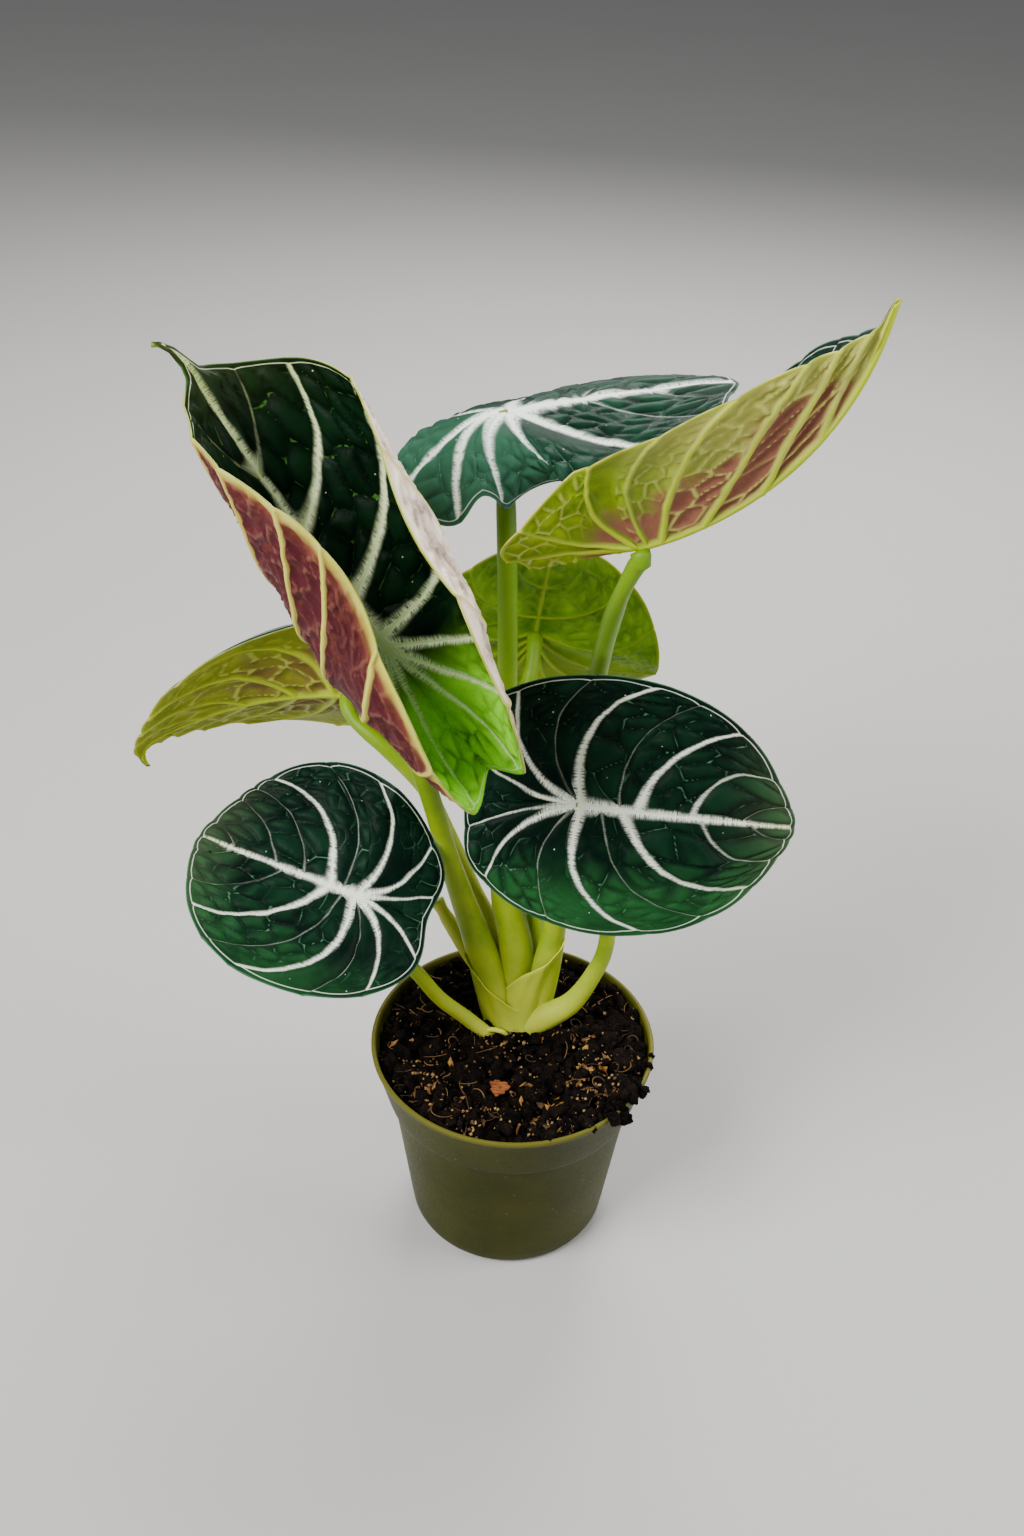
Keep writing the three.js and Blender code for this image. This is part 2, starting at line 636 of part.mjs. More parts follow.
// Bark chip: a flat, bevelled flake that lies on the soil.
function chipGeometry() {
  const [length, width, height] = CHIP.size;
  const outline = [[-1, -0.5], [-0.5, -1], [0.6, -0.9], [1, -0.1], [0.7, 0.8], [-0.2, 1], [-0.9, 0.5]];
  const points = [];
  const faces = [];
  const sides = outline.length;
  for (const [scale, z] of [[0.85, 0], [1, 0.4], [0.75, 1]]) {
    for (const [x, y] of outline) {
      points.push(new THREE.Vector3((x * scale * length) / 2, (y * scale * width) / 2, z * height));
    }
  }
  for (let i = 0; i < 2; i += 1) {
    for (let k = 0; k < sides; k += 1) {
      const next = (k + 1) % sides;
      const [a, b] = [i * sides + k, i * sides + next];
      faces.push([a, b, b + sides], [a, b + sides, a + sides]);
    }
  }
  for (let k = 1; k + 1 < sides; k += 1) {
    faces.push([0, k + 1, k], [2 * sides, 2 * sides + k, 2 * sides + k + 1]);
  }
  const chip = geometryFrom(points, faces);
  const [x, y] = CHIP.at;
  let ground = 0;
  for (let k = 0; k < 24; k += 1) {
    const reach = length * 0.5 * ((k % 3) / 2);
    ground = Math.max(ground, soilTop(x + reach * Math.cos(k), y + reach * Math.sin(k)));
  }
  chip.rotateZ(CHIP.turn);
  chip.translate(x, y, ground + GAP);
  return chip;
}

function addPart(group, name, geometry, color, roughness) {
  const material = new THREE.MeshStandardMaterial({ color, roughness, metalness: 0 });
  const mesh = new THREE.Mesh(geometry, material);
  mesh.name = name;
  group.add(mesh);
}

const plant = new THREE.Group();
plant.name = "potted_plant";
addPart(plant, "pot", potGeometry(), 0x6b6a35, 0.55);
addPart(plant, "soil", soilGeometry(), 0x2a211b, 0.95);
addPart(plant, "bark_chip", chipGeometry(), 0x9a5a2e, 0.9);
addPart(plant, "crown_and_petioles", fromManifold(crownSolid(0)), 0xa9b53c, 0.5);
addPart(plant, "petiole_of_round_leaf", fromManifold(roundPetioleSolid(0)), 0xa9b53c, 0.5);
for (const leaf of LEAVES) {
  addPart(plant, leaf.name, bladeGeometry(leaf), leaf.color, 0.5);
}

export default plant;
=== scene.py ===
# A young potted aroid with seven stiff, pale veined leaves, in a plain studio.
# Metres, +Z up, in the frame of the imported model, which stands on z = 0.
import math

import bpy
import numpy as np
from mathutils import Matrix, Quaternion, Vector


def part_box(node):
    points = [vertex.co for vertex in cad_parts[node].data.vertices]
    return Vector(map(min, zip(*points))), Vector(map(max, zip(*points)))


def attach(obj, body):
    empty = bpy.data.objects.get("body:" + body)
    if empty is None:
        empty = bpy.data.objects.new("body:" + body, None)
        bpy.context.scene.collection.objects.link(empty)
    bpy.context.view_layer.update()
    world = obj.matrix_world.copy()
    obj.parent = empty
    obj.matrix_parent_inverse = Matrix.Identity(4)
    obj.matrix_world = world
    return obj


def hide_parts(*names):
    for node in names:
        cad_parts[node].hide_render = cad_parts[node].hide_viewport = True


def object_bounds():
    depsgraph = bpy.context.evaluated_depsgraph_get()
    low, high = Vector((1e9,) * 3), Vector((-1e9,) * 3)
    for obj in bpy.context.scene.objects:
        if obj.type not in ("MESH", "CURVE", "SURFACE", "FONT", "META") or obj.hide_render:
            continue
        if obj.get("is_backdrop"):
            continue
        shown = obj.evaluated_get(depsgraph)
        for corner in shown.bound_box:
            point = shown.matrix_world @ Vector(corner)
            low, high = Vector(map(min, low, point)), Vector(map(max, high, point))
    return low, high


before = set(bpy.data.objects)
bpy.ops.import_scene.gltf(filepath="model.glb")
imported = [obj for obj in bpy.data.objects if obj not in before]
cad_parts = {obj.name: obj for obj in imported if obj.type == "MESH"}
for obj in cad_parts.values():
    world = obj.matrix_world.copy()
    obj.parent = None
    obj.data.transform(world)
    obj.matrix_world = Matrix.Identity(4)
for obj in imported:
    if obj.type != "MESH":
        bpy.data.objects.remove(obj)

cad_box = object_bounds()
MM = 0.001

# Camera, floor and light. The camera looks down on the plant from the front, a
# little more than arm's length away, as the picture was taken. The floor is a
# plain pale sheet, and the light comes from broad soft panels.
CAMERA_PLACE = (-0.0037, -0.4163, 0.4942)
CAMERA_TILT = 55.7
CAMERA_ROLL = 1.9
CAMERA_LENS = 35.16
FLOOR_HALF = 6.0
PANELS = [
    # name, place, aim, size, watts
    ("panel_left", (-0.9, -0.75, 1.25), (0.0, 0.0, 0.2), 0.8, 46.0),
    ("panel_right", (1.1, -0.2, 0.9), (0.0, 0.0, 0.2), 0.7, 15.0),
    ("panel_back", (0.2, 1.0, 1.1), (0.0, 0.0, 0.25), 0.8, 24.0),
]
WORLD_LIGHT = 0.25

camera_data = bpy.data.cameras.new("camera")
camera_data.lens = CAMERA_LENS
camera_data.sensor_width = 36.0
camera_data.clip_start = 0.01
camera_data.clip_end = 50.0
camera = bpy.data.objects.new("camera", camera_data)
camera.location = CAMERA_PLACE
tilt, roll = math.radians(CAMERA_TILT), math.radians(CAMERA_ROLL)
camera.rotation_mode = "QUATERNION"
turn_up = (math.cos(tilt / 2), math.sin(tilt / 2), 0.0, 0.0)
turn_round = (math.cos(roll / 2), 0.0, 0.0, math.sin(roll / 2))
camera.rotation_quaternion = Quaternion(turn_up) @ Quaternion(turn_round)
bpy.context.scene.collection.objects.link(camera)
bpy.context.scene.camera = camera

for name, place, aim, size, watts in PANELS:
    panel = bpy.data.lights.new(name, "AREA")
    panel.size = size
    panel.energy = watts
    panel_object = bpy.data.objects.new(name, panel)
    panel_object.location = place
    direction = Vector(aim) - Vector(place)
    panel_object.rotation_mode = "QUATERNION"
    panel_object.rotation_quaternion = direction.to_track_quat("-Z", "Y")
    bpy.context.scene.collection.objects.link(panel_object)

world = bpy.data.worlds.new("soft_room")
world.use_nodes = True
world.node_tree.nodes["Background"].inputs["Color"].default_value = (0.93, 0.96, 1.0, 1.0)
world.node_tree.nodes["Background"].inputs["Strength"].default_value = WORLD_LIGHT
bpy.context.scene.world = world


def linear(red, green, blue):
    """Screen colour, 0 to 255, as linear light: the usual 2.4 power curve with its straight toe."""
    shares = [value / 255 for value in (red, green, blue)]
    return tuple(s / 12.92 if s <= 0.04045 else ((s + 0.055) / 1.055) ** 2.4 for s in shares) + (1.0,)


def add_node(kind, inputs=None, **settings):
    """A new node; inputs maps a socket to a value or to another node's output socket."""
    made = tree.nodes.new(kind)
    for key, value in settings.items():
        setattr(made, key, value)
    for key, value in (inputs or {}).items():
        if isinstance(value, bpy.types.NodeSocket):
            tree.links.new(value, made.inputs[key])
        else:
            made.inputs[key].default_value = value
    return made


def new_material(name, roughness, specular):
    """Begins a material, and gives it with its shader and the place of each point of its piece.
    The functions below add their nodes to the material that was begun last."""
    global tree
    material = bpy.data.materials.new(name)
    material.use_nodes = True
    tree = material.node_tree
    shader = tree.nodes["Principled BSDF"]
    shader.inputs["Roughness"].default_value = roughness
    shader.inputs["Specular IOR Level"].default_value = specular
    return material, shader, add_node("ShaderNodeTexCoord").outputs["Object"]


def blend(share, low, high):
    """Colour low where share is 0, high where it is 1."""
    return add_node("ShaderNodeMix", {0: share, 6: low, 7: high}, data_type="RGBA").outputs[2]


def ramp(value, low, high, start=0.0, end=1.0):
    """Maps value from low..high onto start..end, smoothly and held at both ends."""
    inputs = {0: value, 1: low, 2: high, 3: start, 4: end}
    return add_node("ShaderNodeMapRange", inputs, interpolation_type="SMOOTHSTEP").outputs[0]


def noise(place, scale, detail=3.0, roughness=0.55):
    """Cloudy noise, 0 to 1, with scale in cells per metre."""
    inputs = {"Vector": place, "Scale": scale, "Detail": detail, "Roughness": roughness}
    return add_node("ShaderNodeTexNoise", inputs).outputs["Fac"]


def paint(shader, color, low_rough=None, high_rough=None, grain=None):
    """Puts the colour on the shader, and a roughness that runs from low to high with the grain."""
    tree.links.new(color, shader.inputs["Base Color"])
    if grain is not None:
        tree.links.new(ramp(grain, 0.2, 0.8, low_rough, high_rough), shader.inputs["Roughness"])


def mesh_object(name, points, faces, materials, smooth=True, material_index=None):
    """An object at the origin from whole arrays: points in mm, faces of 3 or 4 corners."""
    faces = np.asarray(faces, np.int32)
    corners = faces.shape[1]
    mesh = bpy.data.meshes.new(name)
    mesh.vertices.add(len(points))
    mesh.vertices.foreach_set("co", (np.asarray(points, float) * MM).astype(np.float32).ravel())
    mesh.loops.add(faces.size)
    mesh.loops.foreach_set("vertex_index", faces.ravel())
    mesh.polygons.add(len(faces))
    mesh.polygons.foreach_set("loop_start", np.arange(0, faces.size, corners, dtype=np.int32))
    mesh.polygons.foreach_set("use_smooth", np.full(len(faces), smooth))
    for material in materials:
        mesh.materials.append(material)
    if material_index is not None:
        mesh.polygons.foreach_set("material_index", np.asarray(material_index, np.int32))
    mesh.update(calc_edges=True)
    mesh.validate()
    piece = bpy.data.objects.new(name, mesh)
    bpy.context.scene.collection.objects.link(piece)
    return piece


floor_material, shader, place = new_material("pale_floor", 0.8, 0.2)
cloud = noise(place, 3.0)
paint(shader, blend(cloud, linear(176, 174, 170), linear(181, 179, 176)))
half = FLOOR_HALF / MM
floor_points = [(-half, -half, 0.0), (half, -half, 0.0), (half, half, 0.0), (-half, half, 0.0)]
floor = mesh_object("floor", floor_points, [[0, 1, 2, 3]], [floor_material], smooth=False)
floor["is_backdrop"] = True

# Pot: a thin walled round nursery pot, moulded in one piece from olive green
# plastic. It has a rolled bead at the lip, a band below it, a rounded foot, and
# eight drain holes and eight small notches in its base.
POT_HEIGHT = 86.0
RIM_RADIUS = 54.0
BAND_HEIGHT = 22.0
BAND_LOW_RADIUS = 48.6
BODY_TOP_RADIUS = 46.4
BODY_LOW_RADIUS = 38.6
BASE_EDGE_ROUND = 4.0
WALL = 1.3
RIM_BEAD = 0.7
POT_FLOOR = 1.8
POT_AROUND = 224
DRAIN_COUNT = 8
DRAIN_RADIUS = 3.5
DRAIN_DEPTH = 6.0
DRAIN_CIRCLE = 24.0
NOTCH_SIZE = (14.0, 6.0, 4.4)
NOTCH_REACH = 33.6


def fall(value, low, high):
    """1 up to low, then smoothly down to 0 at high."""
    return ramp(value, low, high, 1.0, 0.0)


def math_node(operation, first, second=0.0, third=0.0):
    """One sum on sockets or numbers."""
    return add_node("ShaderNodeMath", {0: first, 1: second, 2: third}, operation=operation).outputs[0]


def bump(shader, height, distance, strength=1.0):
    """Fine relief: distance in metres for a height of 1."""
    made = add_node("ShaderNodeBump", {"Height": height, "Distance": distance, "Strength": strength})
    tree.links.new(made.outputs["Normal"], shader.inputs["Normal"])


def ring_faces(rings, around):
    """Quads between successive closed rings of points."""
    i, k = np.meshgrid(np.arange(rings - 1), np.arange(around), indexing="ij")
    a = (i * around + k).ravel()
    b = (i * around + (k + 1) % around).ravel()
    return np.stack([a, b, b + around, a + around], 1)


def round_off(profile, passes):
    """Rounds a profile by cutting each corner at a quarter of its sides, a few times over."""
    line = np.asarray(profile, float)
    for _ in range(passes):
        near = line[:-1] * 0.75 + line[1:] * 0.25
        far = line[:-1] * 0.25 + line[1:] * 0.75
        cut = np.stack([near, far], 1).reshape(-1, 2)
        line = np.vstack([line[:1], cut, line[-1:]])
    return line


def triangles(faces):
    """Quads cut into triangles, and triangles whose corners coincide left out."""
    if faces.shape[1] == 4:
        faces = np.vstack([faces[:, [0, 1, 2]], faces[:, [0, 2, 3]]])
    a, b, c = faces.T
    return faces[(a != b) & (b != c) & (c != a)]


def closed_faces(rings, around):
    """Triangles between successive rings of points, and a fan at each end round the two
    points that come after the rings."""
    k = np.arange(around)
    nxt = (k + 1) % around
    start, top = rings * around, (rings - 1) * around
    low = np.stack([np.full(around, start), nxt, k, k], 1)
    high = np.stack([np.full(around, start + 1), top + k, top + nxt, top + nxt], 1)
    return triangles(np.vstack([ring_faces(rings, around), low, high]))


def turned(profile, around):
    """A profile of radius and height carried round the axis: x = r cos t, y = r sin t.
    The first and last points lie on the axis, where the surface closes in a fan."""
    angle = np.arange(around) * (2 * np.pi / around)
    rings = profile[1:-1]
    x = rings[:, :1] * np.cos(angle)
    y = rings[:, :1] * np.sin(angle)
    z = np.repeat(rings[:, 1:], around, 1)
    points = np.stack([x, y, z], -1).reshape(-1, 3)
    points = np.vstack([points, [[0, 0, profile[0, 1]], [0, 0, profile[-1, 1]]]])
    return points, closed_faces(len(rings), around)


band_foot = POT_HEIGHT - BAND_HEIGHT
foot = BASE_EDGE_ROUND
arc = [(BODY_LOW_RADIUS - foot + foot * math.sin(t), foot - foot * math.cos(t))
       for t in np.linspace(0.0, math.pi / 2, 7)[1:-1]]
outer = [(0, 0), (BODY_LOW_RADIUS - foot, 0), *arc, (BODY_LOW_RADIUS + 0.3, foot),
         (BODY_TOP_RADIUS, band_foot - 0.8), (BAND_LOW_RADIUS - 0.4, band_foot),
         (BAND_LOW_RADIUS, band_foot + 0.6), (RIM_RADIUS - RIM_BEAD, POT_HEIGHT - 2.4),
         (RIM_RADIUS, POT_HEIGHT - 1.8), (RIM_RADIUS, POT_HEIGHT - 0.4), (RIM_RADIUS - 0.4, POT_HEIGHT)]
inner = [(RIM_RADIUS - WALL - 0.3, POT_HEIGHT), (RIM_RADIUS - RIM_BEAD - WALL, POT_HEIGHT - 2.4),
         (BAND_LOW_RADIUS - WALL, band_foot + 1.4), (BODY_TOP_RADIUS - WALL, band_foot - 0.4),
         (BODY_LOW_RADIUS - WALL + 0.3, foot + 1), (BODY_LOW_RADIUS - WALL - 2.4, POT_FLOOR), (0, POT_FLOOR)]
pot_points, pot_faces = turned(round_off(outer + inner, 2), POT_AROUND)

pot_plastic, shader, place = new_material("olive_pot_plastic", 0.42, 0.1)
height = add_node("ShaderNodeSeparateXYZ", {"Vector": place}).outputs["Z"]
cloud = noise(place, 22.0, 4.0)
grain = noise(place, 900.0, 2.0)
mottled = blend(ramp(cloud, 0.3, 0.7), linear(41, 44, 0), linear(56, 57, 2))
# Painted highlight: the rolled bead at the lip is painted a lighter olive, where light catches it.
lip = ramp(height, (POT_HEIGHT - 2.6) * MM, (POT_HEIGHT - 0.8) * MM)
with_lip_highlight = blend(lip, mottled, linear(92, 90, 30))
dust = add_node("ShaderNodeTexVoronoi", {"Vector": place, "Scale": 130.0}).outputs["Distance"]
speck = fall(dust, 0.03, 0.07)
paint(shader, blend(speck, with_lip_highlight, linear(96, 88, 50)), 0.36, 0.5, grain)
scale_marks = add_node("ShaderNodeMapping", {"Vector": place, "Scale": (40.0, 40.0, 700.0)}).outputs[0]
lines = noise(scale_marks, 1.0, 2.0)
bump(shader, math_node("ADD", grain, lines), 0.00006, 0.5)

pot = mesh_object("pot_shell", pot_points, pot_faces, [pot_plastic])
for index in range(DRAIN_COUNT):
    angle = 2 * math.pi * (index + 0.5) / DRAIN_COUNT
    ahead = np.array([math.cos(angle), math.sin(angle), 0]) * MM
    bpy.ops.mesh.primitive_cylinder_add(vertices=32, radius=DRAIN_RADIUS * MM, depth=DRAIN_DEPTH * MM,
                                        location=list(ahead * DRAIN_CIRCLE + (0, 0, MM)))
    hole = bpy.context.object
    bpy.ops.mesh.primitive_cube_add(size=1, location=list(ahead * (NOTCH_REACH + NOTCH_SIZE[0] / 2)),
                                    rotation=(0, 0, angle), scale=[side * MM for side in NOTCH_SIZE])
    notch = bpy.context.object
    for cutter in (hole, notch):
        cut = pot.modifiers.new("cut", "BOOLEAN")
        cut.operation = "DIFFERENCE"
        cut.solver = "EXACT"
        cut.object = cutter
        bpy.context.view_layer.objects.active = pot
        bpy.ops.object.modifier_apply(modifier="cut")
        bpy.data.objects.remove(cutter)
pot.data.polygons.foreach_set("use_smooth", np.full(len(pot.data.polygons), True))
pot.data.set_sharp_from_angle(angle=math.radians(40))
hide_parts("pot")
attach(pot, "root")

# Soil: damp dark peat that fills the pot to just under the lip. Its top is all
# clods and crumbs, with fibres, pale perlite grains and bits of bark in it, and
# some of it has spilled over the lip at the front right.
SOIL_LEVEL = 80.5
SOIL_MOUND = 3.0
SOIL_BANK = 3.0
SOIL_LUMP = 0.9
CROWN = (1.0, 17.0)
CROWN_CLEAR = 15
LONE_PETIOLE = (-10, 6)
LONE_CLEAR = 6
SOIL_GAP = 0.3
SOIL_AROUND = 250
SOIL_TOP_RINGS = 100
CLOD_COUNT = 700
CLOD_SHARE = 0.85
CRUMB_COUNT = 560
SPILL_COUNT = 130
SPILL_ANGLE = -36
rng = np.random.default_rng(11)


def times(first, second):
    """Two shares multiplied."""
    return math_node("MULTIPLY", first, second)


def set_attribute(piece, name, values):
    """Stores three numbers for each vertex, for the material to read."""
    attribute = piece.data.attributes.new(name, "FLOAT_VECTOR", "POINT")
    attribute.data.foreach_set("vector", np.asarray(values, np.float32).ravel())


def value_noise(x, y, cell, seed):
    """Smooth noise from -1 to 1: random heights on a square lattice of cells, eased between corners."""
    table = np.random.default_rng(seed).uniform(-1, 1, (256, 256))
    gx, gy = x / cell, y / cell
    ix, iy = np.floor(gx).astype(int), np.floor(gy).astype(int)
    fx, fy = gx - ix, gy - iy
    fx, fy = fx * fx * (3 - 2 * fx), fy * fy * (3 - 2 * fy)
    corner = lambda dx, dy: table[(ix + dx) % 256, (iy + dy) % 256]
    low = corner(0, 0) * (1 - fx) + corner(1, 0) * fx
    high = corner(0, 1) * (1 - fx) + corner(1, 1) * fx
    return low * (1 - fy) + high * fy


def soil_top(x, y):
    """Soil height: level, plus a low mound round the crown and a bank along the front right
    of the wall, plus a few crossed waves."""
    mound = SOIL_MOUND * np.exp(-((x - CROWN[0]) ** 2 + (y - CROWN[1]) ** 2) / 900)
    bank = SOIL_BANK * np.clip((np.hypot(x, y) - 30) / 18, 0, 1)
    bank = bank * (0.55 + 0.45 * np.cos(np.arctan2(y, x) + 0.8))
    lumps = (np.sin(x * 0.37 + 1.3) * np.cos(y * 0.33 - 0.6)
             + 0.7 * np.sin(x * 0.71 - y * 0.59 + 2.1) + 0.5 * np.cos(y * 0.93 + x * 0.41))
    return SOIL_LEVEL + (mound + bank) + SOIL_LUMP * lumps


def clod_relief(x, y, centres, sizes):
    """Height of half buried balls: for each point, the tallest cap sqrt(1 - (d / size)^2) x size."""
    best = np.zeros_like(x)
    for (cx, cy), size in zip(centres, sizes):
        share = ((x - cx) ** 2 + (y - cy) ** 2) / size ** 2
        best = np.maximum(best, np.sqrt(np.clip(1 - share, 0, None)) * size * 0.75)
    return best


def pot_inside(z):
    """Inner radius of the pot at a height."""
    band = BAND_LOW_RADIUS - WALL + (RIM_RADIUS - RIM_BEAD - BAND_LOW_RADIUS) * (z - band_foot - 1.4) / 18.2
    body = BODY_LOW_RADIUS - WALL + (BODY_TOP_RADIUS - BODY_LOW_RADIUS) * (z - foot) / (band_foot - foot)
    return np.where(z > band_foot + 1.4, band, body)


soil_radius = float(pot_inside(SOIL_LEVEL)) - SOIL_GAP
angles = np.arange(SOIL_AROUND) * (2 * np.pi / SOIL_AROUND)
wall_levels = np.array([2.1, 6.0, 30.0, band_foot - 1.0, band_foot + 2.0, 70.0, SOIL_LEVEL - 3])
wall_radius = pot_inside(wall_levels) - SOIL_GAP
wall_radius[0] -= 3.0
wall_radius[3] -= 0.4
top_radius = soil_radius * (1 - (np.arange(SOIL_TOP_RINGS) / SOIL_TOP_RINGS) ** 1.15)
ring_radius = np.concatenate([wall_radius, top_radius])
x = ring_radius[:, None] * np.cos(angles)
y = ring_radius[:, None] * np.sin(angles)
clod_place = rng.uniform(-soil_radius, soil_radius, (CLOD_COUNT, 2))
clod_size = rng.uniform(1.2, 4.6, CLOD_COUNT)
relief = clod_relief(x, y, clod_place, clod_size)
rough = value_noise(x, y, 7.0, 1) * 1.9 + value_noise(x, y, 2.6, 2) * 1.3 + value_noise(x, y, 1.1, 3) * 0.8
crown_distance = np.hypot(x - CROWN[0], y - CROWN[1])
calm = np.clip((crown_distance - 9) / 8, 0.25, 1)
rough += relief * CLOD_SHARE
z = soil_top(x, y) - 1.4 + rough * calm
z[:len(wall_levels)] = wall_levels[:, None]
soil_points = np.vstack([np.stack([x, y, z], -1).reshape(-1, 3), [[0, 0, 2.1], [0, 0, soil_top(0.0, 0.0)]]])

peat, shader, place = new_material("damp_peat", 0.9, 0.05)
cloud = noise(place, 160.0, 5.0)
fine = noise(place, 900.0, 4.0, 0.7)
ground = blend(ramp(cloud, 0.35, 0.7), linear(4, 3, 3), linear(22, 16, 12))
ground = blend(ramp(fine, 0.55, 0.75), ground, linear(52, 38, 26))
# Painted shade: the hollows between the clods are painted near black.
hollow_shade = add_node("ShaderNodeAttribute", attribute_name="hollow_shade").outputs["Fac"]
ground = blend(hollow_shade, ground, linear(2, 1, 1))
grit = add_node("ShaderNodeTexVoronoi", {"Vector": place, "Scale": 420.0})
grit_near = fall(grit.outputs["Distance"], 0.1, 0.2)
grit_some = ramp(add_node("ShaderNodeSeparateXYZ", {"Vector": grit.outputs["Color"]}).outputs["X"],
                 0.9, 0.93)
grit_share = times(grit_near, grit_some)
paint(shader, blend(grit_share, ground, linear(110, 84, 50)))
bump(shader, math_node("ADD", cloud, fine), 0.0006, 0.8)

soil = mesh_object("soil_fill", soil_points, closed_faces(len(ring_radius), SOIL_AROUND), [peat])
# How low a point lies between the clods: the share of painted shade there.
hollow_shade_share = np.clip((0.6 - rough) / 1.6, 0, 1)
hollow_shade_values = np.concatenate([hollow_shade_share.ravel(), [0, 0]])
set_attribute(soil, "hollow_shade", np.stack([hollow_shade_values] * 3, 1))
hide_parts("soil")
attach(soil, "root")


def ball_faces():
    """A ball of 42 points and 80 faces: an icosahedron with each face cut in four."""
    bpy.ops.mesh.primitive_ico_sphere_add(subdivisions=2, radius=1)
    ball = bpy.context.object
    points = np.array([v.co for v in ball.data.vertices])
    faces = np.array([list(p.vertices) for p in ball.data.polygons])
    bpy.data.objects.remove(ball)
    return points, faces


def scatter(places, sizes, shape, faces, seed, rough_share, squash=(1.0, 1.0, 1.0)):
    """Copies of one shape, each turned at random, scaled, dented and set in place."""
    draw = np.random.default_rng(seed)
    count = len(places)
    axes = draw.normal(size=(count, 2, 3))
    first = axes[:, 0] / np.linalg.norm(axes[:, 0], axis=1, keepdims=True)
    second = np.cross(first, axes[:, 1])
    second /= np.linalg.norm(second, axis=1, keepdims=True)
    third = np.cross(first, second)
    turn = np.stack([first, second, third], 1)
    dents = 1 + rough_share * draw.uniform(-1, 1, (count, len(shape)))
    local = shape[None] * dents[..., None] * np.asarray(squash) * sizes[:, None, None]
    points = np.einsum("nvi,nij->nvj", local, turn) + places[:, None]
    all_faces = faces[None] + (np.arange(count) * len(shape))[:, None, None]
    return points.reshape(-1, 3), all_faces.reshape(-1, faces.shape[1])


def on_soil(px, py, lift):
    """The places at px, py that lie lift mm above the soil's top."""
    pz = soil_top(px, py) - 1 + clod_relief(px, py, clod_place, clod_size) * CLOD_SHARE + lift
    return np.stack([px, py, pz], 1)


def top_places(count, seed, lift, spread=1.0):
    """Random places on the soil's top, clear of the crown and of the round leaf's petiole."""
    draw = np.random.default_rng(seed)
    radius = soil_radius * spread * np.sqrt(draw.uniform(0, 1, count * 2))
    angle = draw.uniform(0, 2 * np.pi, count * 2)
    px, py = radius * np.cos(angle), radius * np.sin(angle)
    keep = ((np.hypot(px - CROWN[0], py - CROWN[1]) > CROWN_CLEAR)
            & (np.hypot(px - LONE_PETIOLE[0], py - LONE_PETIOLE[1]) > LONE_CLEAR))
    return on_soil(px[keep][:count], py[keep][:count], lift)


ball, ball_triangles = ball_faces()
spill = np.random.default_rng(5)
spill_turn = np.radians(SPILL_ANGLE) + spill.normal(0, 0.2, SPILL_COUNT)
spill_reach = spill.uniform(46.5, 56.5, SPILL_COUNT)
spill_height = np.interp(spill_reach, [46.5, 51, 54, 56.5], [83.5, 86.5, 86.0, 82.5])
spill_height += spill.normal(0, 0.9, SPILL_COUNT)
spill_places = np.stack([spill_reach * np.cos(spill_turn), spill_reach * np.sin(spill_turn),
                         spill_height], 1)
spill_sizes = 0.8 + 2.2 * spill.uniform(0, 1, SPILL_COUNT) ** 2
# A spilled crumb stays where the lip or its neighbours hold it. The others lie further in.
apart = np.linalg.norm(spill_places[:, None] - spill_places, axis=2)
touching = apart < 0.6 * (spill_sizes[:, None] + spill_sizes)
held = spill_reach - 0.6 * spill_sizes < RIM_RADIUS
for _ in range(8):
    held = held | touching[:, held].any(1)
spill_places[~held] *= (0.88, 0.88, 0.97)
crumb_places = np.vstack([top_places(CRUMB_COUNT, 21, 0.1), spill_places])
crumb_sizes = 0.6 + 2.9 * np.random.default_rng(22).uniform(0, 1, CRUMB_COUNT) ** 2.2
crumb_sizes = np.concatenate([crumb_sizes, spill_sizes])
crumb_points, crumb_faces = scatter(crumb_places, crumb_sizes, ball, ball_triangles, 23, 0.36,
                                    (1.0, 0.85, 0.7))
crumbs = mesh_object("soil_crumbs", crumb_points, crumb_faces, [peat])
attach(crumbs, "root")

grain_material, shader, place = new_material("perlite_and_sand", 0.8, 0.3)
cells = add_node("ShaderNodeTexNoise", {"Vector": place, "Scale": 260.0, "Detail": 1.0}).outputs["Fac"]
paint(shader, blend(ramp(cells, 0.4, 0.6), linear(150, 120, 72), linear(84, 58, 32)))
bump(shader, noise(place, 2500.0), 0.0002)
octa = np.array([(1, 0, 0), (-1, 0, 0), (0, 1, 0), (0, -1, 0), (0, 0, 1), (0, 0, -1)], float)
octa_faces = np.array([(0, 2, 4), (2, 1, 4), (1, 3, 4), (3, 0, 4),
                       (2, 0, 5), (1, 2, 5), (3, 1, 5), (0, 3, 5)])
grain_seeds = np.random.default_rng(31)
patch = grain_seeds.normal(0, 5.5, (260, 2))
patch_centres = np.array([(-33, -20), (30, -8), (33, -26), (-14, -40), (10, -44), (0, -2)])
patch_xy = patch_centres[grain_seeds.integers(0, len(patch_centres), 260)] + patch
inside = np.hypot(*patch_xy.T) < soil_radius - 1
grain_places = np.vstack([on_soil(*patch_xy[inside].T, 1.0), top_places(190, 32, 0.9)])
grain_sizes = grain_seeds.uniform(0.25, 0.85, len(grain_places))
grain_points, grain_faces = scatter(grain_places, grain_sizes, octa, octa_faces, 33, 0.25)
grains = mesh_object("soil_grains", grain_points, grain_faces, [grain_material])
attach(grains, "root")

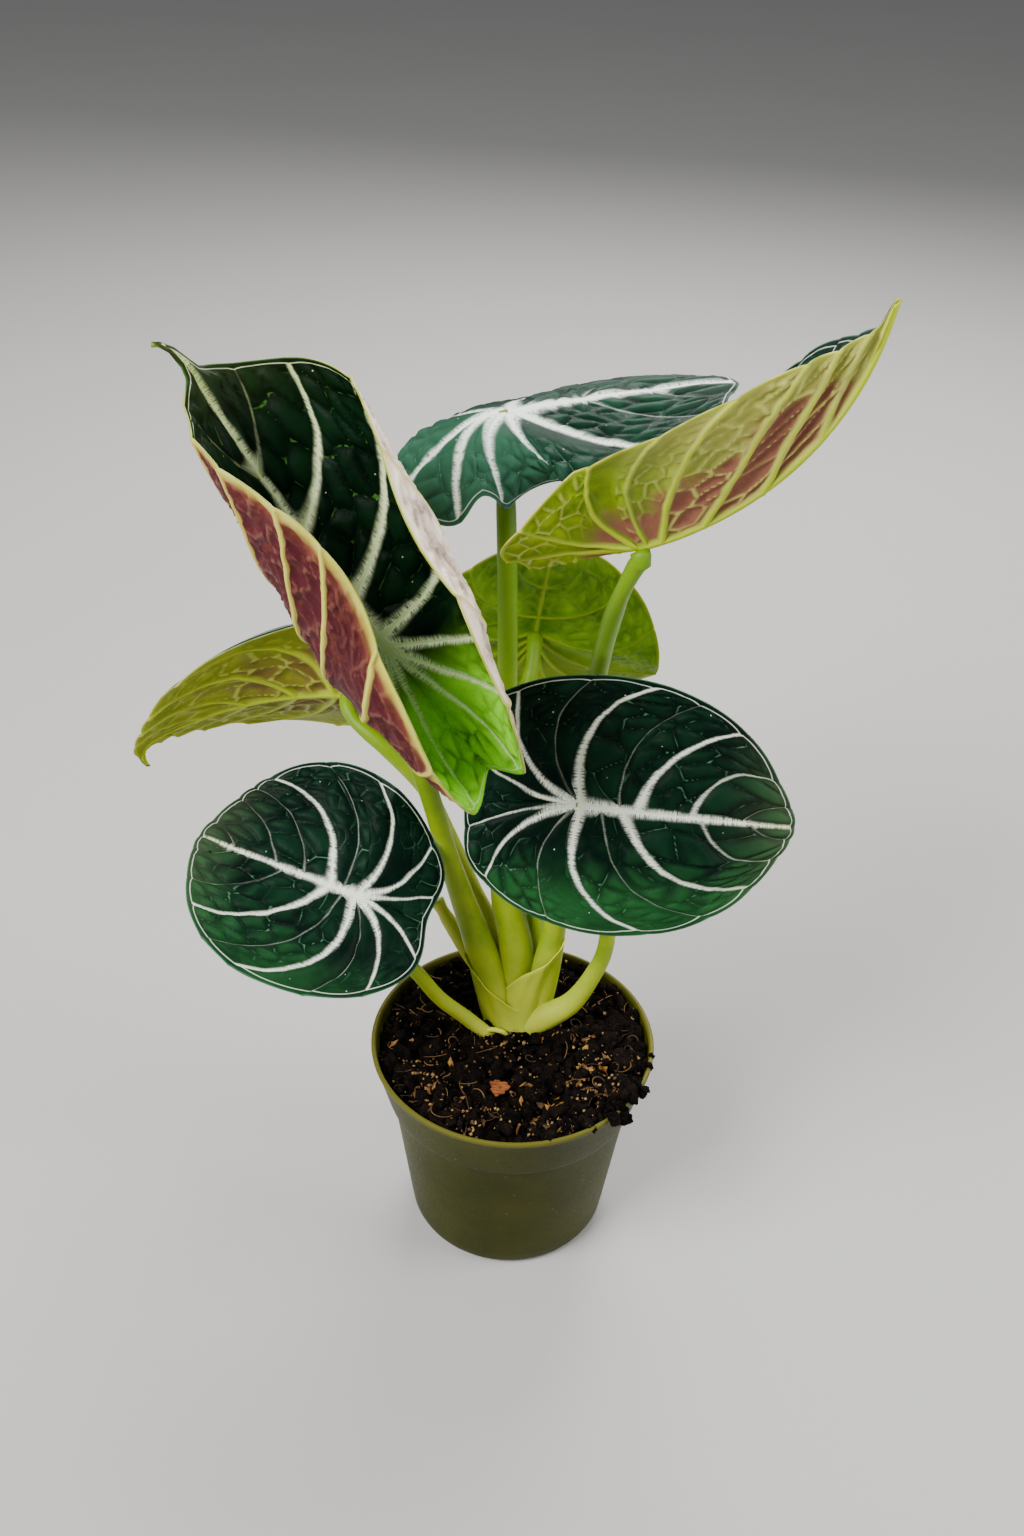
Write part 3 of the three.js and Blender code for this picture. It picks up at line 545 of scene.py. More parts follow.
chip_material, shader, place = new_material("golden_wood_chips", 0.7, 0.3)
wood = ramp(noise(place, 180.0, 2.0), 0.35, 0.65)
paint(shader, blend(wood, linear(70, 42, 18), linear(158, 112, 46)))
bump(shader, noise(place, 1800.0), 0.0003)
chip_draw = np.random.default_rng(36)
cluster = np.array([(-34, -12), (-30, -24), (14, -36), (30, -16), (38, -24), (-14, -34), (24, 6)])
cluster_xy = cluster[chip_draw.integers(0, len(cluster), 110)] + chip_draw.normal(0, 4.5, (110, 2))
cluster_xy = cluster_xy[np.hypot(*cluster_xy.T) < soil_radius - 1.5]
chip_places = np.vstack([on_soil(*cluster_xy.T, 1.1), top_places(60, 37, 1.0)])
chip_sizes = 0.7 + 2.0 * chip_draw.uniform(0, 1, len(chip_places)) ** 1.8
chips_points, chips_faces = scatter(chip_places, chip_sizes, octa, octa_faces, 38, 0.25, (1.0, 0.45, 0.16))
wood_chips = mesh_object("soil_wood_chips", chips_points, chips_faces, [chip_material], smooth=False)
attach(wood_chips, "root")


def sweep(centres, radii, sides):
    """Tubes along many paths at once: centres is (tubes, steps, 3), radii (tubes, steps).
    Each ring is radius x (cos t across + sin t over), square to the path; flat ends."""
    tangent = np.gradient(centres, axis=1)
    tangent /= np.linalg.norm(tangent, axis=2, keepdims=True)
    across = np.cross(tangent, np.array([0.13, 0.21, 0.97]))
    across /= np.linalg.norm(across, axis=2, keepdims=True)
    over = np.cross(tangent, across)
    angle = np.arange(sides) * (2 * np.pi / sides)
    ring = across[:, :, None] * np.cos(angle)[:, None] + over[:, :, None] * np.sin(angle)[:, None]
    points = centres[:, :, None] + ring * radii[:, :, None, None]
    tubes, steps = centres.shape[:2]
    one = ring_faces(steps, sides)
    k = np.arange(1, sides - 1)
    low = np.stack([0 * k, k + 1, k, k], 1)
    top = (steps - 1) * sides
    high = np.stack([top + 0 * k, top + k, top + k + 1, top + k + 1], 1)
    one = triangles(np.vstack([one, low, high]))
    faces = (one[None] + (np.arange(tubes) * steps * sides)[:, None, None]).reshape(-1, 3)
    return points.reshape(-1, 3), faces


def fibre_paths(places, lengths, seed, lift):
    """Curved threads: a level random heading that turns steadily, rising in a low arch."""
    draw = np.random.default_rng(seed)
    count = len(places)
    steps = 11
    s = np.linspace(-0.5, 0.5, steps)[None]
    heading = draw.uniform(0, 2 * np.pi, (count, 1)) + draw.normal(0, 1.3, (count, 1)) * s * 2
    step = lengths[:, None] / (steps - 1)
    px = places[:, :1] + np.cumsum(np.cos(heading) * step, 1)
    py = places[:, 1:2] + np.cumsum(np.sin(heading) * step, 1)
    arch = draw.uniform(0.2, 1.0, (count, 1)) * lift * (1 - 4 * s ** 2)
    tip = draw.normal(0, 0.12, (count, 1)) * lengths[:, None] * s
    pz = places[:, 2:] + arch + tip
    reach = np.hypot(px, py)
    pull = np.minimum(1, (soil_radius - 0.5) / reach)
    return np.stack([px * pull, py * pull, pz], 2)


fibre_material, shader, place = new_material("root_fibres", 0.75, 0.3)
cells = add_node("ShaderNodeTexNoise", {"Vector": place, "Scale": 70.0, "Detail": 0.0}).outputs["Fac"]
paint(shader, blend(ramp(cells, 0.4, 0.6), linear(66, 42, 22), linear(118, 86, 48)))
fibre_places = top_places(95, 41, 0.8, 0.95)
fibre_draw = np.random.default_rng(42)
fibre_lengths = fibre_draw.uniform(3, 13, len(fibre_places))
centres = fibre_paths(fibre_places, fibre_lengths, 43, 1.6)
taper = np.linspace(1.0, 0.55, centres.shape[1])[None]
radii = fibre_draw.uniform(0.1, 0.26, (len(centres), 1)) * taper
fibre_points, fibre_faces = sweep(centres, radii, 6)
fibres = mesh_object("soil_fibres", fibre_points, fibre_faces, [fibre_material])
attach(fibres, "root")

# Bark chip: one flat, dry, orange brown flake that lies on the soil in front.
CHIP_AROUND = 48
CHIP_RINGS = 17
MICRONS_IN_MM = 1000
bark, shader, place = new_material("orange_bark", 0.85, 0.25)
grain_place = add_node("ShaderNodeMapping", {"Vector": place, "Scale": (300.0, 1500.0, 900.0)}).outputs[0]
streaks = noise(grain_place, 1.0, 4.0)
paint(shader, blend(ramp(streaks, 0.3, 0.7), linear(80, 38, 14), linear(142, 80, 38)))
bump(shader, streaks, 0.0005)
chip_low, chip_high = [np.array(corner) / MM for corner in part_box("bark_chip")]
chip_middle = (chip_low + chip_high) / 2
chip_half = (chip_high - chip_low) / 2
u, v = np.meshgrid(np.linspace(0, 2 * np.pi, CHIP_AROUND, endpoint=False),
                   np.linspace(-np.pi / 2, np.pi / 2, CHIP_RINGS))
ragged = 1 + 0.14 * np.sin(3 * u + 1.0) + 0.1 * np.sin(7 * u + 2.0) + 0.05 * np.sin(13 * u)
flat = np.sign(np.cos(v)) * np.abs(np.cos(v)) ** 0.35
chip_x = flat * np.cos(u) * ragged
chip_y = flat * np.sin(u) * ragged
chip_z = np.sin(v) * 0.55 + 0.35 * chip_x ** 2 + 0.08 * np.sin(9 * chip_x) * np.cos(7 * chip_y) - 0.2
chip_shape = np.stack([chip_x, chip_y * 1.05, chip_z + 0.55 * chip_y + 0.5], -1).reshape(-1, 3)
chip_shape = chip_shape * chip_half + chip_middle


def weld(points):
    """Points within a micron of each other become one: which are kept, and each one's new number."""
    keys = np.round(points * MICRONS_IN_MM).astype(np.int64)
    _, kept, number = np.unique(keys, axis=0, return_index=True, return_inverse=True)
    return kept, number.ravel()


kept, number = weld(chip_shape)
chip_faces = triangles(number[ring_faces(CHIP_RINGS, CHIP_AROUND)])
chip = mesh_object("bark_flake", chip_shape[kept], chip_faces, [bark])
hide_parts("bark_chip")
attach(chip, "root")

# Leaf blades: seven stiff blades, each carried on its petiole at a point inside
# its notched end. The upper side is dark and puffed between pale veins with a
# downy edge, the underside is light with raised ribs. Each blade grows flat, with
# x along the midrib and y across it, and is then bent as the real one has grown.
BLADE_THICKNESS = 0.8
MARGIN_THICKNESS = 0.55
SPINE_STEPS = 24
SECTION_STEPS = 16
MARGIN_SAMPLES = 600
TIP_ROWS = np.array([0.0, 0.06, 0.12, 0.2, 0.3, 0.4, 0.52, 0.64, 0.76, 0.88])
CREASE_HALF_WIDTH = 1.9
THIN_RIB = 0.25
FAR = 1e9
QUILT = 1.0
PUFF = 1.4
RIPPLE = 0.7
MARGIN_VEIN = 1.35


def along(leaf, triple, x):
    """A value given at the lobes, the joint and the tip, in straight steps between them."""
    reach = np.clip(np.where(x < 0, -x / leaf["lobe"], x / leaf["tip"]), 0, 1)
    return triple[1] + (np.where(x < 0, triple[0], triple[2]) - triple[1]) * reach


def margin_point(leaf, angle):
    """Flat margin: an oval, fatter on one side of its middle, with a drawn out tip and a notch."""
    body_tip = leaf["tip"] - leaf["tail"]
    half_length = (body_tip + leaf["lobe"]) / 2
    middle = (body_tip - leaf["lobe"]) / 2
    from_tip = 1 - np.exp(-(angle / leaf["point_angle"]) ** 2)
    from_notch = np.exp(-((np.pi - angle) / leaf["notch_angle"]) ** 2)
    tail = leaf["tail"] * np.exp(-(angle / 0.03) ** 2)
    x = middle + half_length * np.cos(angle) - leaf["point"] * from_tip + leaf["notch"] * from_notch + tail
    y = leaf["half"] * np.sin(angle) * (1 - leaf["egg"] * np.cos(angle))
    return x, y


def vein_rows(leaf, half):
    """Row numbers, margin shares and bows of one half's veins. Rows run from 0 at the tip to 1
    at the joint by where they leave the midrib, and to 2 at the notch, fanning from the joint."""
    front = [vein for vein in half["veins"] if vein[0] > 0]
    fan = [vein for vein in half["veins"] if vein[0] == 0]
    fan_start = front[-1][1] + 0.03
    fan_rows = [1 + (vein[1] - fan_start) / (1 - fan_start) for vein in fan]
    rows = [0.0, *[1 - vein[0] / leaf["tip"] for vein in front], 1.0, *fan_rows, 2.0]
    ends = [0.0, *[vein[1] for vein in front], fan_start, *[vein[1] for vein in fan], 1.0]
    bows = [front[0][2], *[vein[2] for vein in front], front[-1][2], *[vein[2] for vein in fan], 0.0]
    return np.array(rows), np.array(ends), np.array(bows)


def ray_point(leaf, half, row, r):
    """Flat point at the share r of the way out along a row: a straight line from the midrib to
    the margin, bowed by a parabola square to it."""
    rows, ends, bows = vein_rows(leaf, half)
    end_x, end_y = margin_point(leaf, np.pi * np.interp(row, rows, ends))
    start = leaf["tip"] * np.clip(1 - row, 0, 1)
    run = end_x - start
    bow = np.interp(row, rows, bows) * 2 * r * (1 - r)
    return start + run * r - bow * end_y, np.maximum(0, end_y * r + bow * run)


def midrib_frame(leaf, x):
    """Place, side and normal of the midrib at x: small steps along its rise and heading added up."""
    def angles(at):
        reach = np.clip(at / leaf["tip"], 0, 1)
        tail = np.clip((reach - leaf["tail_from"]) / (1 - leaf["tail_from"]), 0, 1) ** 2
        rise = along(leaf, leaf["rise"], at) + leaf["rise_more"] * reach ** 2 + leaf["tail_drop"] * tail
        return np.radians(rise), np.radians(along(leaf, leaf["heading"], at))

    def direction(rise, heading):
        return np.stack([np.cos(rise) * np.cos(heading), np.cos(rise) * np.sin(heading), np.sin(rise)], -1)

    place = np.zeros(x.shape + (3,)) + np.array(leaf["joint"], float)
    for step in range(SPINE_STEPS):
        place = place + direction(*angles(x * (step + 0.5) / SPINE_STEPS)) * (x / SPINE_STEPS)[..., None]
    rise, heading = angles(x)
    forward = direction(rise, heading)
    level = np.stack([-np.sin(heading), np.cos(heading), np.zeros_like(heading)], -1)
    up = np.cross(forward, level)
    lean = np.radians(along(leaf, leaf["lean"], x))[..., None]
    side = level * np.cos(lean) + up * np.sin(lean)
    normal = up * np.cos(lean) - level * np.sin(lean)
    return place, side, normal


def bend(leaf, x, y, sign):
    """Bent place of the flat point x, y on the left (sign 1) or right (-1) half: the cross
    section turns by fold, more by curl towards the margin, and by edge in its last part."""
    place, side, normal = midrib_frame(leaf, x)
    half = leaf["left"] if sign > 0 else leaf["right"]
    fold, curl, edge = (along(leaf, half[name], x) for name in ("fold", "curl", "edge"))
    out, lift = np.zeros_like(y), np.zeros_like(y)
    for step in range(SECTION_STEPS):
        q = (step + 0.5) / SECTION_STEPS * y / leaf["half"]
        roll = np.clip((q - 0.6) / 0.4, 0, None) ** 2
        slope = np.radians(fold + curl * q + edge * roll)
        out += np.cos(slope) * y / SECTION_STEPS
        lift += np.sin(slope) * y / SECTION_STEPS
    return place + side * (sign * out)[..., None] + normal * lift[..., None]


def crowded(start, end, count, pull=0.55):
    """Count steps from start to end, closer together near both."""
    t = np.linspace(0, 1, count + 1)
    return start + (end - start) * (t + pull * ((1 - np.cos(np.pi * t)) / 2 - t))


def steepness(value, x, y):
    """How fast a value on the grid changes, per mm of the flat blade."""
    (vi, vj), (xi, xj), (yi, yj) = np.gradient(value), np.gradient(x), np.gradient(y)
    area = np.maximum(np.abs(xi * yj - xj * yi), 1e-6)
    return np.hypot(vi * yj - vj * yi, vj * xi - vi * xj) / area


def cell_border(strip, cross, strip_mm, link_mm, seed):
    """Distance in mm to the border of a net of cells, one to each strip and link, whose middles
    are moved at random: the difference of the squared distances to the two nearest middles,
    over twice the distance between those middles."""
    table = np.random.default_rng(seed).uniform(-0.4, 0.4, (2, 64, 64))
    low_i, low_j = np.floor(strip).astype(int), np.floor(cross).astype(int)
    first, second = np.full(strip.shape, FAR), np.full(strip.shape, FAR)
    first_s, first_c, second_s, second_c = (np.zeros(strip.shape) for _ in range(4))
    for i in (low_i - 1, low_i, low_i + 1):
        for step in (-2, -1, 0, 1, 2):
            j = low_j + step
            s = (i + 0.5 + 0.7 * table[0, i % 64, j % 64] - strip) * strip_mm
            c = (j + 0.5 * (i % 2) + table[1, i % 64, j % 64] + 0.25 - cross) * link_mm
            square = s ** 2 + c ** 2
            best, next_best = square < first, (square >= first) & (square < second)
            second_s = np.where(best, first_s, np.where(next_best, s, second_s))
            second_c = np.where(best, first_c, np.where(next_best, c, second_c))
            second = np.where(best, first, np.where(next_best, square, second))
            first_s, first_c = np.where(best, s, first_s), np.where(best, c, first_c)
            first = np.where(best, square, first)
    apart = np.hypot(second_s - first_s, second_c - first_c) + 0.01
    return (second - first) / (2 * apart)


def blade_surface(leaf, rays, across):
    """Both halves of the middle surface on a grid of rows and shares, with what the materials
    read: veins and thin veins as distances in mm, puffs of tissue, and the tones: painted light, where light
    falls on or through the blade, then blush and cream."""
    stops = sorted({float(row) for name in ("left", "right") for row in vein_rows(leaf, leaf[name])[0]})
    tip_rows = TIP_ROWS * stops[1]
    grid = [tip_rows]
    for low, high in zip(stops[1:], stops[2:]):
        margin_run = sum(np.ptp(np.interp((low, high), *vein_rows(leaf, leaf[name])[:2]))
                         for name in ("left", "right")) / 2
        count = max(3, round(rays * max(margin_run, 0.35 * (high - low) * (low < 1))))
        grid.append(crowded(low, high, count)[:-1])
    row = np.concatenate([*grid, [2.0]])[:, None]
    r = crowded(0, 1, across, 0.45)[None, :] ** 1.15
    row, r = (values.copy() for values in np.broadcast_arrays(row, r))
    margin_x, margin_y = margin_point(leaf, np.linspace(0, np.pi, MARGIN_SAMPLES))
    halves = []
    for sign, name in ((1, "left"), (-1, "right")):
        half = leaf[name]
        rows, ends = vein_rows(leaf, half)[:2]
        is_vein = (rows != 1.0) | (ends == 0)
        vein_row, vein_end = rows[is_vein], ends[is_vein]
        x, y = ray_point(leaf, half, row, r)
        share = np.interp(row, rows, ends)
        sector = np.interp(row, vein_row, np.arange(len(vein_row)))
        between = np.sin(np.pi * (sector % 1))
        ray_x, ray_y = (np.gradient(part, axis=1) / np.gradient(r, axis=1) for part in (x, y))
        ray_length = np.hypot(ray_x, ray_y) + 0.01
        (xi, xj), (yi, yj) = np.gradient(x), np.gradient(y)
        slant = np.abs(xi * yj - xj * yi) / (np.hypot(xi, yi) * np.hypot(xj, yj) + 1e-9)
        steps = np.hypot(np.diff(x, axis=0, prepend=x[:1]), np.diff(y, axis=0, prepend=y[:1]))
        arc = np.cumsum(steps, axis=0)
        base = leaf["vein_width"]
        reach = np.clip(x / leaf["tip"], 0, 1)
        distance = np.where(x < 0, np.hypot(x, y), y)
        half_width = base * (0.8 * np.exp(-np.abs(x) / 9) + 0.95 * (1 - 0.55 * reach))
        half_width = np.where(x < 0, base * 1.75, half_width)
        run = np.clip(x, 0, None)
        grade = np.ones_like(x)
        out = r * ray_length
        wobble_x, wobble_y = x + 300 + 70 * sign, y + 90
        wobble = (0.6 * value_noise(wobble_x, wobble_y, 12.0, leaf["seed"] + 5)
                  + 0.3 * value_noise(wobble_x, wobble_y, 4.0, leaf["seed"] + 6)) * np.clip(out / 12, 0, 1)
        for index, (leaves, *_, strength) in enumerate(half["veins"]):
            where = rows[1 + index + (leaves == 0)]
            at_vein = np.argmin(np.abs(row[:, 0] - where))
            to_vein = np.abs((arc - arc[at_vein]) * slant + wobble)
            width = base * strength * (0.6 * np.exp(-out / 7) + 0.26 + 0.42 * (1 - r))
            nearer = to_vein - width < distance - half_width
            distance = np.where(nearer, to_vein, distance)
            half_width = np.where(nearer, width, half_width)
            run = np.where(nearer, out + 41.0 * (index + 1), run)
            grade = np.where(nearer, strength, grade)
        to_margin = np.full(x.shape, FAR)
        for px, py in zip(margin_x, margin_y):
            to_margin = np.minimum(to_margin, (x - px) ** 2 + (y - py) ** 2)
        to_margin = np.where(r >= 1, 0.0, np.sqrt(to_margin))
        end_x, end_y = margin_point(leaf, np.pi * vein_end)
        spans = np.hypot(np.diff(end_x), np.diff(end_y))
        strips = np.concatenate([[0], np.cumsum(np.maximum(1, np.round(spans / leaf["strip_mm"])))])
        strip = np.interp(share, vein_end, strips)
        sway = 0.22 * value_noise(x + 200 + 90 * sign, y + 150, 15.0, leaf["seed"])
        strip = strip + sway * between ** 0.5
        strip_mm = np.minimum(1 / np.maximum(steepness(strip, x, y), 0.02), 1.6 * leaf["strip_mm"])
        cross = r * ray_length / leaf["link_mm"] + 20
        cell = cell_border(strip, cross, strip_mm, leaf["link_mm"], leaf["seed"] + 3 + sign)
        puff = 1 - np.exp(-(cell / CREASE_HALF_WIDTH) ** 1.5)
        fade = np.clip((strip_mm - 2.2) / 2.5, 0, 1) * np.clip((to_margin - 0.8) / 2.5, 0, 1)
        fade = fade * np.clip((distance - half_width * 0.6) / 1.8, 0, 1)
        lift = QUILT * between * np.sin(np.pi * np.minimum(1, r)) ** 0.6
        lift += PUFF * (puff - 0.4) * fade
        lift += RIPPLE * (between - 0.5) * r ** 4
        lift -= 0.25 * np.exp(-(distance / (half_width + 0.4)) ** 2)
        rib = leaf["rib"] * np.exp(-(distance / (0.4 + half_width * 0.8)) ** 2)
        rib *= 0.3 + 0.7 * np.clip(half_width / (base * 1.1), 0, 1)
        thin_rib = THIN_RIB * np.exp(-(cell / 0.5) ** 2) * fade
        border_at = MARGIN_VEIN + 0.7 * (1 - between ** 0.5)
        warm = np.clip((x / leaf["tip"] - 0.55) / 0.45, 0, 1)
        # The first tone is painted light: shares where the blade is painted brighter, as if light falls on
        # or through it.
        tone_and_light = np.stack([leaf[key](x, y, sign) + 0 * x for key in ("glow", "blush", "cream")], -1)
        halves.append({
            "points": bend(leaf, x, y, sign), "lift": lift, "rib": rib + thin_rib, "share": r,
            "vein": np.stack([run, distance, half_width], -1),
            "net": np.stack([cell, fade, warm], -1),
            "border": np.stack([to_margin, to_margin - border_at, grade], -1),
            "tone_and_light": np.clip(tone_and_light, 0, 1)})
    return halves


def normals_of(points, faces):
    """Vertex normals: the cross products of the triangles at each vertex, added up."""
    a, b, c = (points[faces[:, i]] for i in range(3))
    cross = np.cross(b - a, c - a)
    total = np.zeros_like(points)
    for axis in range(3):
        for corner in range(3):
            total[:, axis] += np.bincount(faces[:, corner], cross[:, axis], len(points))
    return total / np.maximum(np.linalg.norm(total, axis=1, keepdims=True), 1e-12)


def make_blade(leaf, materials, rays=120, across=44):
    """A closed blade: the middle surface lifted by its puffs, then moved half its thickness up
    and down its normals, with ribs added below and a strip of faces round the margin."""
    halves = blade_surface(leaf, rays, across)
    count_u, count_r = halves[0]["share"].shape
    i, j = np.meshgrid(np.arange(count_u - 1), np.arange(count_r - 1), indexing="ij")
    a = (i * count_r + j).ravel()
    quads = np.stack([a, a + 1, a + count_r + 1, a + count_r], 1)
    faces = np.vstack([triangles(quads), triangles(quads)[:, ::-1] + count_u * count_r])
    joined = {name: np.concatenate([h[name].reshape(count_u * count_r, -1) for h in halves])
              for name in halves[0]}
    kept, number = weld(joined["points"])
    faces = triangles(number[faces])
    data = {name: values[kept] for name, values in joined.items()}
    points = data["points"]
    points = points + normals_of(points, faces) * data["lift"]
    normal = normals_of(points, faces)
    half = (BLADE_THICKNESS + (MARGIN_THICKNESS - BLADE_THICKNESS) * data["share"]) / 2
    upper = points + normal * half
    under = points - normal * (half + data["rib"])
    left_edge = number[np.arange(count_u) * count_r + count_r - 1]
    right_edge = number[np.arange(count_u) * count_r + count_r - 1 + count_u * count_r]
    loop = np.concatenate([left_edge, right_edge[::-1][1:-1]])
    nxt = np.roll(loop, -1)
    size = len(points)
    strip = np.vstack([np.stack([nxt, loop, loop + size], 1), np.stack([nxt, loop + size, nxt + size], 1)])
    all_faces = np.vstack([faces, faces[:, ::-1] + size, strip])
    index = np.concatenate([np.zeros(len(faces)), np.ones(len(faces)), np.full(len(strip), 2)])
    piece = mesh_object(leaf["node"] + "_blade", np.vstack([upper, under]), all_faces, materials,
                        material_index=index)
    for name in ("vein", "net", "border", "tone_and_light"):
        set_attribute(piece, name, np.vstack([data[name], data[name]]))
    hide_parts(leaf["node"])
    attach(piece, "root")
    return piece


def attribute_parts(name):
    """The three numbers of a vertex attribute, as output sockets."""
    source = add_node("ShaderNodeAttribute", attribute_name=name)
    return add_node("ShaderNodeSeparateXYZ", {"Vector": source.outputs["Vector"]}).outputs


def plus(first, factor, added):
    """The first share times a factor, with another added."""
    return math_node("MULTIPLY_ADD", first, factor, added)


def net_masks():
    """Shares of the creases round the puffs, where shade is painted, of the hair thin veins in them, and of
    the puffs, where light is painted.
    """
    cell, fade, warm = attribute_parts("net")
    crease_shade = times(fall(cell, 0.1, 1.6), fade)
    thin = times(fall(cell, 0.05, 0.36), fade)
    puff = times(ramp(cell, 0.3, 3.6), fade)
    return crease_shade, thin, puff, warm


def vein_masks(feather):
    """Shares of vein, of its raised cord and of its thin outline, from the distance in mm to the
    vein's middle; its edge is frayed and fades into down by noise stretched across the vein."""
    run, distance, half_width = attribute_parts("vein")
    past_border, grade = attribute_parts("border")[1:]
    hair_place = add_node("ShaderNodeCombineXYZ", {"X": times(run, 2.8), "Y": times(distance, 0.4)})
    hair = noise(hair_place.outputs[0], 1.0, 3.0, 0.5)
    past = math_node("SUBTRACT", distance, times(half_width, 0.85))
    fray = times(ramp(hair, 0.35, 0.7), times(half_width, 0.45 * feather))
    core = fall(math_node("SUBTRACT", past, fray), -0.35, 0.25)
    reach = plus(half_width, 2.1 * feather, 0.1)
    down = fall(math_node("DIVIDE", past, reach), 0.0, 1.0)
    down = times(math_node("POWER", down, 1.5), ramp(hair, 0.34, 0.58, 0.15, 1.0))
    inside = ramp(past_border, -0.3, 0.1)
    strong = ramp(grade, 0.25, 0.7, 0.16, 1.0)
    band = times(math_node("MAXIMUM", core, down), times(inside, strong))
    share = math_node("DIVIDE", distance, half_width)
    cord = times(fall(share, 0.2, 0.42), inside)
    outline = times(ramp(share, 0.3, 0.44), fall(share, 0.48, 0.66))
    return band, cord, times(outline, inside)


def upper_material(name, *colors, feather=1.0):
    """Upper side: deep green, with painted light on the puffs and where light falls on or through the blade,
    painted shade in the creases round the puffs, and pale veins.
    """
    deep, mid, lit_color, vein_color, cord_color, line_color = (linear(*color) for color in colors)
    material, shader, place = new_material(name, 0.46, 0.04)
    to_margin, past_border = attribute_parts("border")[:2]
    glow = attribute_parts("tone_and_light")[0]
    crease_shade, thin, puff, warm = net_masks()
    cloud = noise(place, 70.0, 4.0)
    fine = noise(place, 900.0, 4.0, 0.65)
    # Partly painted light: the puffs are painted a little lighter, over a random cloud of tone.
    relief = plus(puff, 0.25, times(cloud, 1.1))
    ground = blend(ramp(relief, 0.3, 1.0), deep, mid)
    # Painted light: brighter green where the blade's painted light share, a random cloud and the puffs add
    # up.
    glow_share = plus(cloud, 0.4, glow)
    glow_share = plus(puff, 0.2, glow_share)
    ground = blend(ramp(glow_share, 0.45, 1.5), ground, lit_color)
    ground = blend(times(ramp(fine, 0.5, 0.8), 0.3), ground, mid)
    ground = blend(times(times(warm, warm), 0.12), ground, [0.35 * part for part in cord_color])
    # Painted shade: the creases round the puffs are painted darker, patchily.
    crease_shade_strength = ramp(noise(place, 85.0, 2.0), 0.4, 0.65, 0.0, 0.5)
    ground = blend(times(crease_shade, crease_shade_strength), ground, [0.3 * part for part in deep[:3]] + [1.0])
    patchy = ramp(noise(place, 110.0, 2.0), 0.4, 0.62, 0.05, 0.7)
    ground = blend(times(thin, patchy), ground, line_color)
    lip = fall(to_margin, 0.1, 0.5)
    ground = blend(times(lip, 0.5), ground, line_color)
    border = fall(math_node("ABSOLUTE", past_border), 0.04, 0.24)
    ground = blend(times(border, 0.55), ground, vein_color)
    dots = add_node("ShaderNodeTexVoronoi", {"Vector": place, "Scale": 150.0}).outputs["Distance"]
    ground = blend(times(fall(dots, 0.03, 0.05), 0.5), ground, vein_color)
    band, cord, outline = vein_masks(feather)
    pale = blend(times(warm, 0.75), vein_color, cord_color)
    ground = blend(band, ground, pale)
    ground = blend(times(cord, 0.4), ground, cord_color)
    ground = blend(times(outline, 0.22), ground, line_color)
    paint(shader, ground, 0.36, 0.5, fine)
    height = plus(fine, 0.6, times(thin, -0.6))
    bump(shader, height, 0.0002, 0.8)
    return material


def under_material(name, *colors, clear=1.6, line_share=0.5, dusk_from=5.0, dusk_full=17.0):
    """Underside: light green or cream ground, dusky where it blushes up to the clear space in mm
    along each rib, with raised lighter ribs. The dusk deepens between two distances from the margin."""
    ground_low, ground_high, blush_low, blush_high, cream, rib_color, line_color = (
        linear(*color) for color in colors)
    material, shader, place = new_material(name, 0.46, 0.12)
    to_margin, _, grade = attribute_parts("border")
    blush, pale = attribute_parts("tone_and_light")[1:]
    cell, fade = attribute_parts("net")[:2]
    thin = times(fall(cell, 0.1, 0.75), fade)
    puff = times(ramp(cell, 0.3, 3.6), fade)
    distance, half_width = attribute_parts("vein")[1:]
    cloud = noise(place, 85.0, 4.0)
    fine = noise(place, 1100.0, 3.0, 0.6)
    streak = noise(place, 260.0, 4.0, 0.6)
    # Partly painted light: the puffs are painted a little lighter, over a random cloud of tone.
    ground = blend(ramp(plus(puff, 0.3, cloud), 0.35, 0.9),
                   ground_low, ground_high)
    ground = blend(pale, ground, cream)
    near_keel = plus(streak, 8.0, to_margin)
    dusk = blend(ramp(near_keel, dusk_from, dusk_full), blush_high, blush_low)
    dusk = blend(ramp(streak, 0.48, 0.72, 0.0, 0.35), dusk, blush_high)
    patch = plus(cloud, 1.2, plus(blush, 1.1, -0.45))
    off_rib = ramp(math_node("SUBTRACT", distance, half_width), 0.1, clear)
    off_rib = times(off_rib, ramp(to_margin, 1.5 * clear, 6.0 * clear))
    patch = times(ramp(patch, 0.4, 0.85), times(ramp(blush, 0.02, 0.2), off_rib))
    ground = blend(patch, ground, dusk)
    ground = blend(times(thin, line_share), ground, line_color)
    edge = fall(to_margin, 0.3, 1.6)
    ground = blend(times(edge, 0.75), ground, rib_color)
    past = math_node("SUBTRACT", distance, plus(half_width, 0.6, 0.1))
    ground = blend(times(fall(past, -0.3, 1.0), 0.4), ground, line_color)
    strong = ramp(grade, 0.2, 0.6, 0.4, 1.0)
    ground = blend(times(fall(past, -0.25, 0.15), strong), ground, rib_color)
    paint(shader, ground, 0.4, 0.56, fine)
    height = plus(fine, 0.4, times(thin, 0.5))
    bump(shader, height, 0.00014, 0.8)
    return material


def margin_material(name, low, high):
    """The thin rim of the blade."""
    material, shader, place = new_material(name, 0.5, 0.3)
    paint(shader, blend(ramp(noise(place, 120.0), 0.35, 0.65), linear(*low), linear(*high)))
    return material


def even(value):
    """A tone, or a share of painted light, that is the same all over a blade."""
    return lambda x, y, sign: value


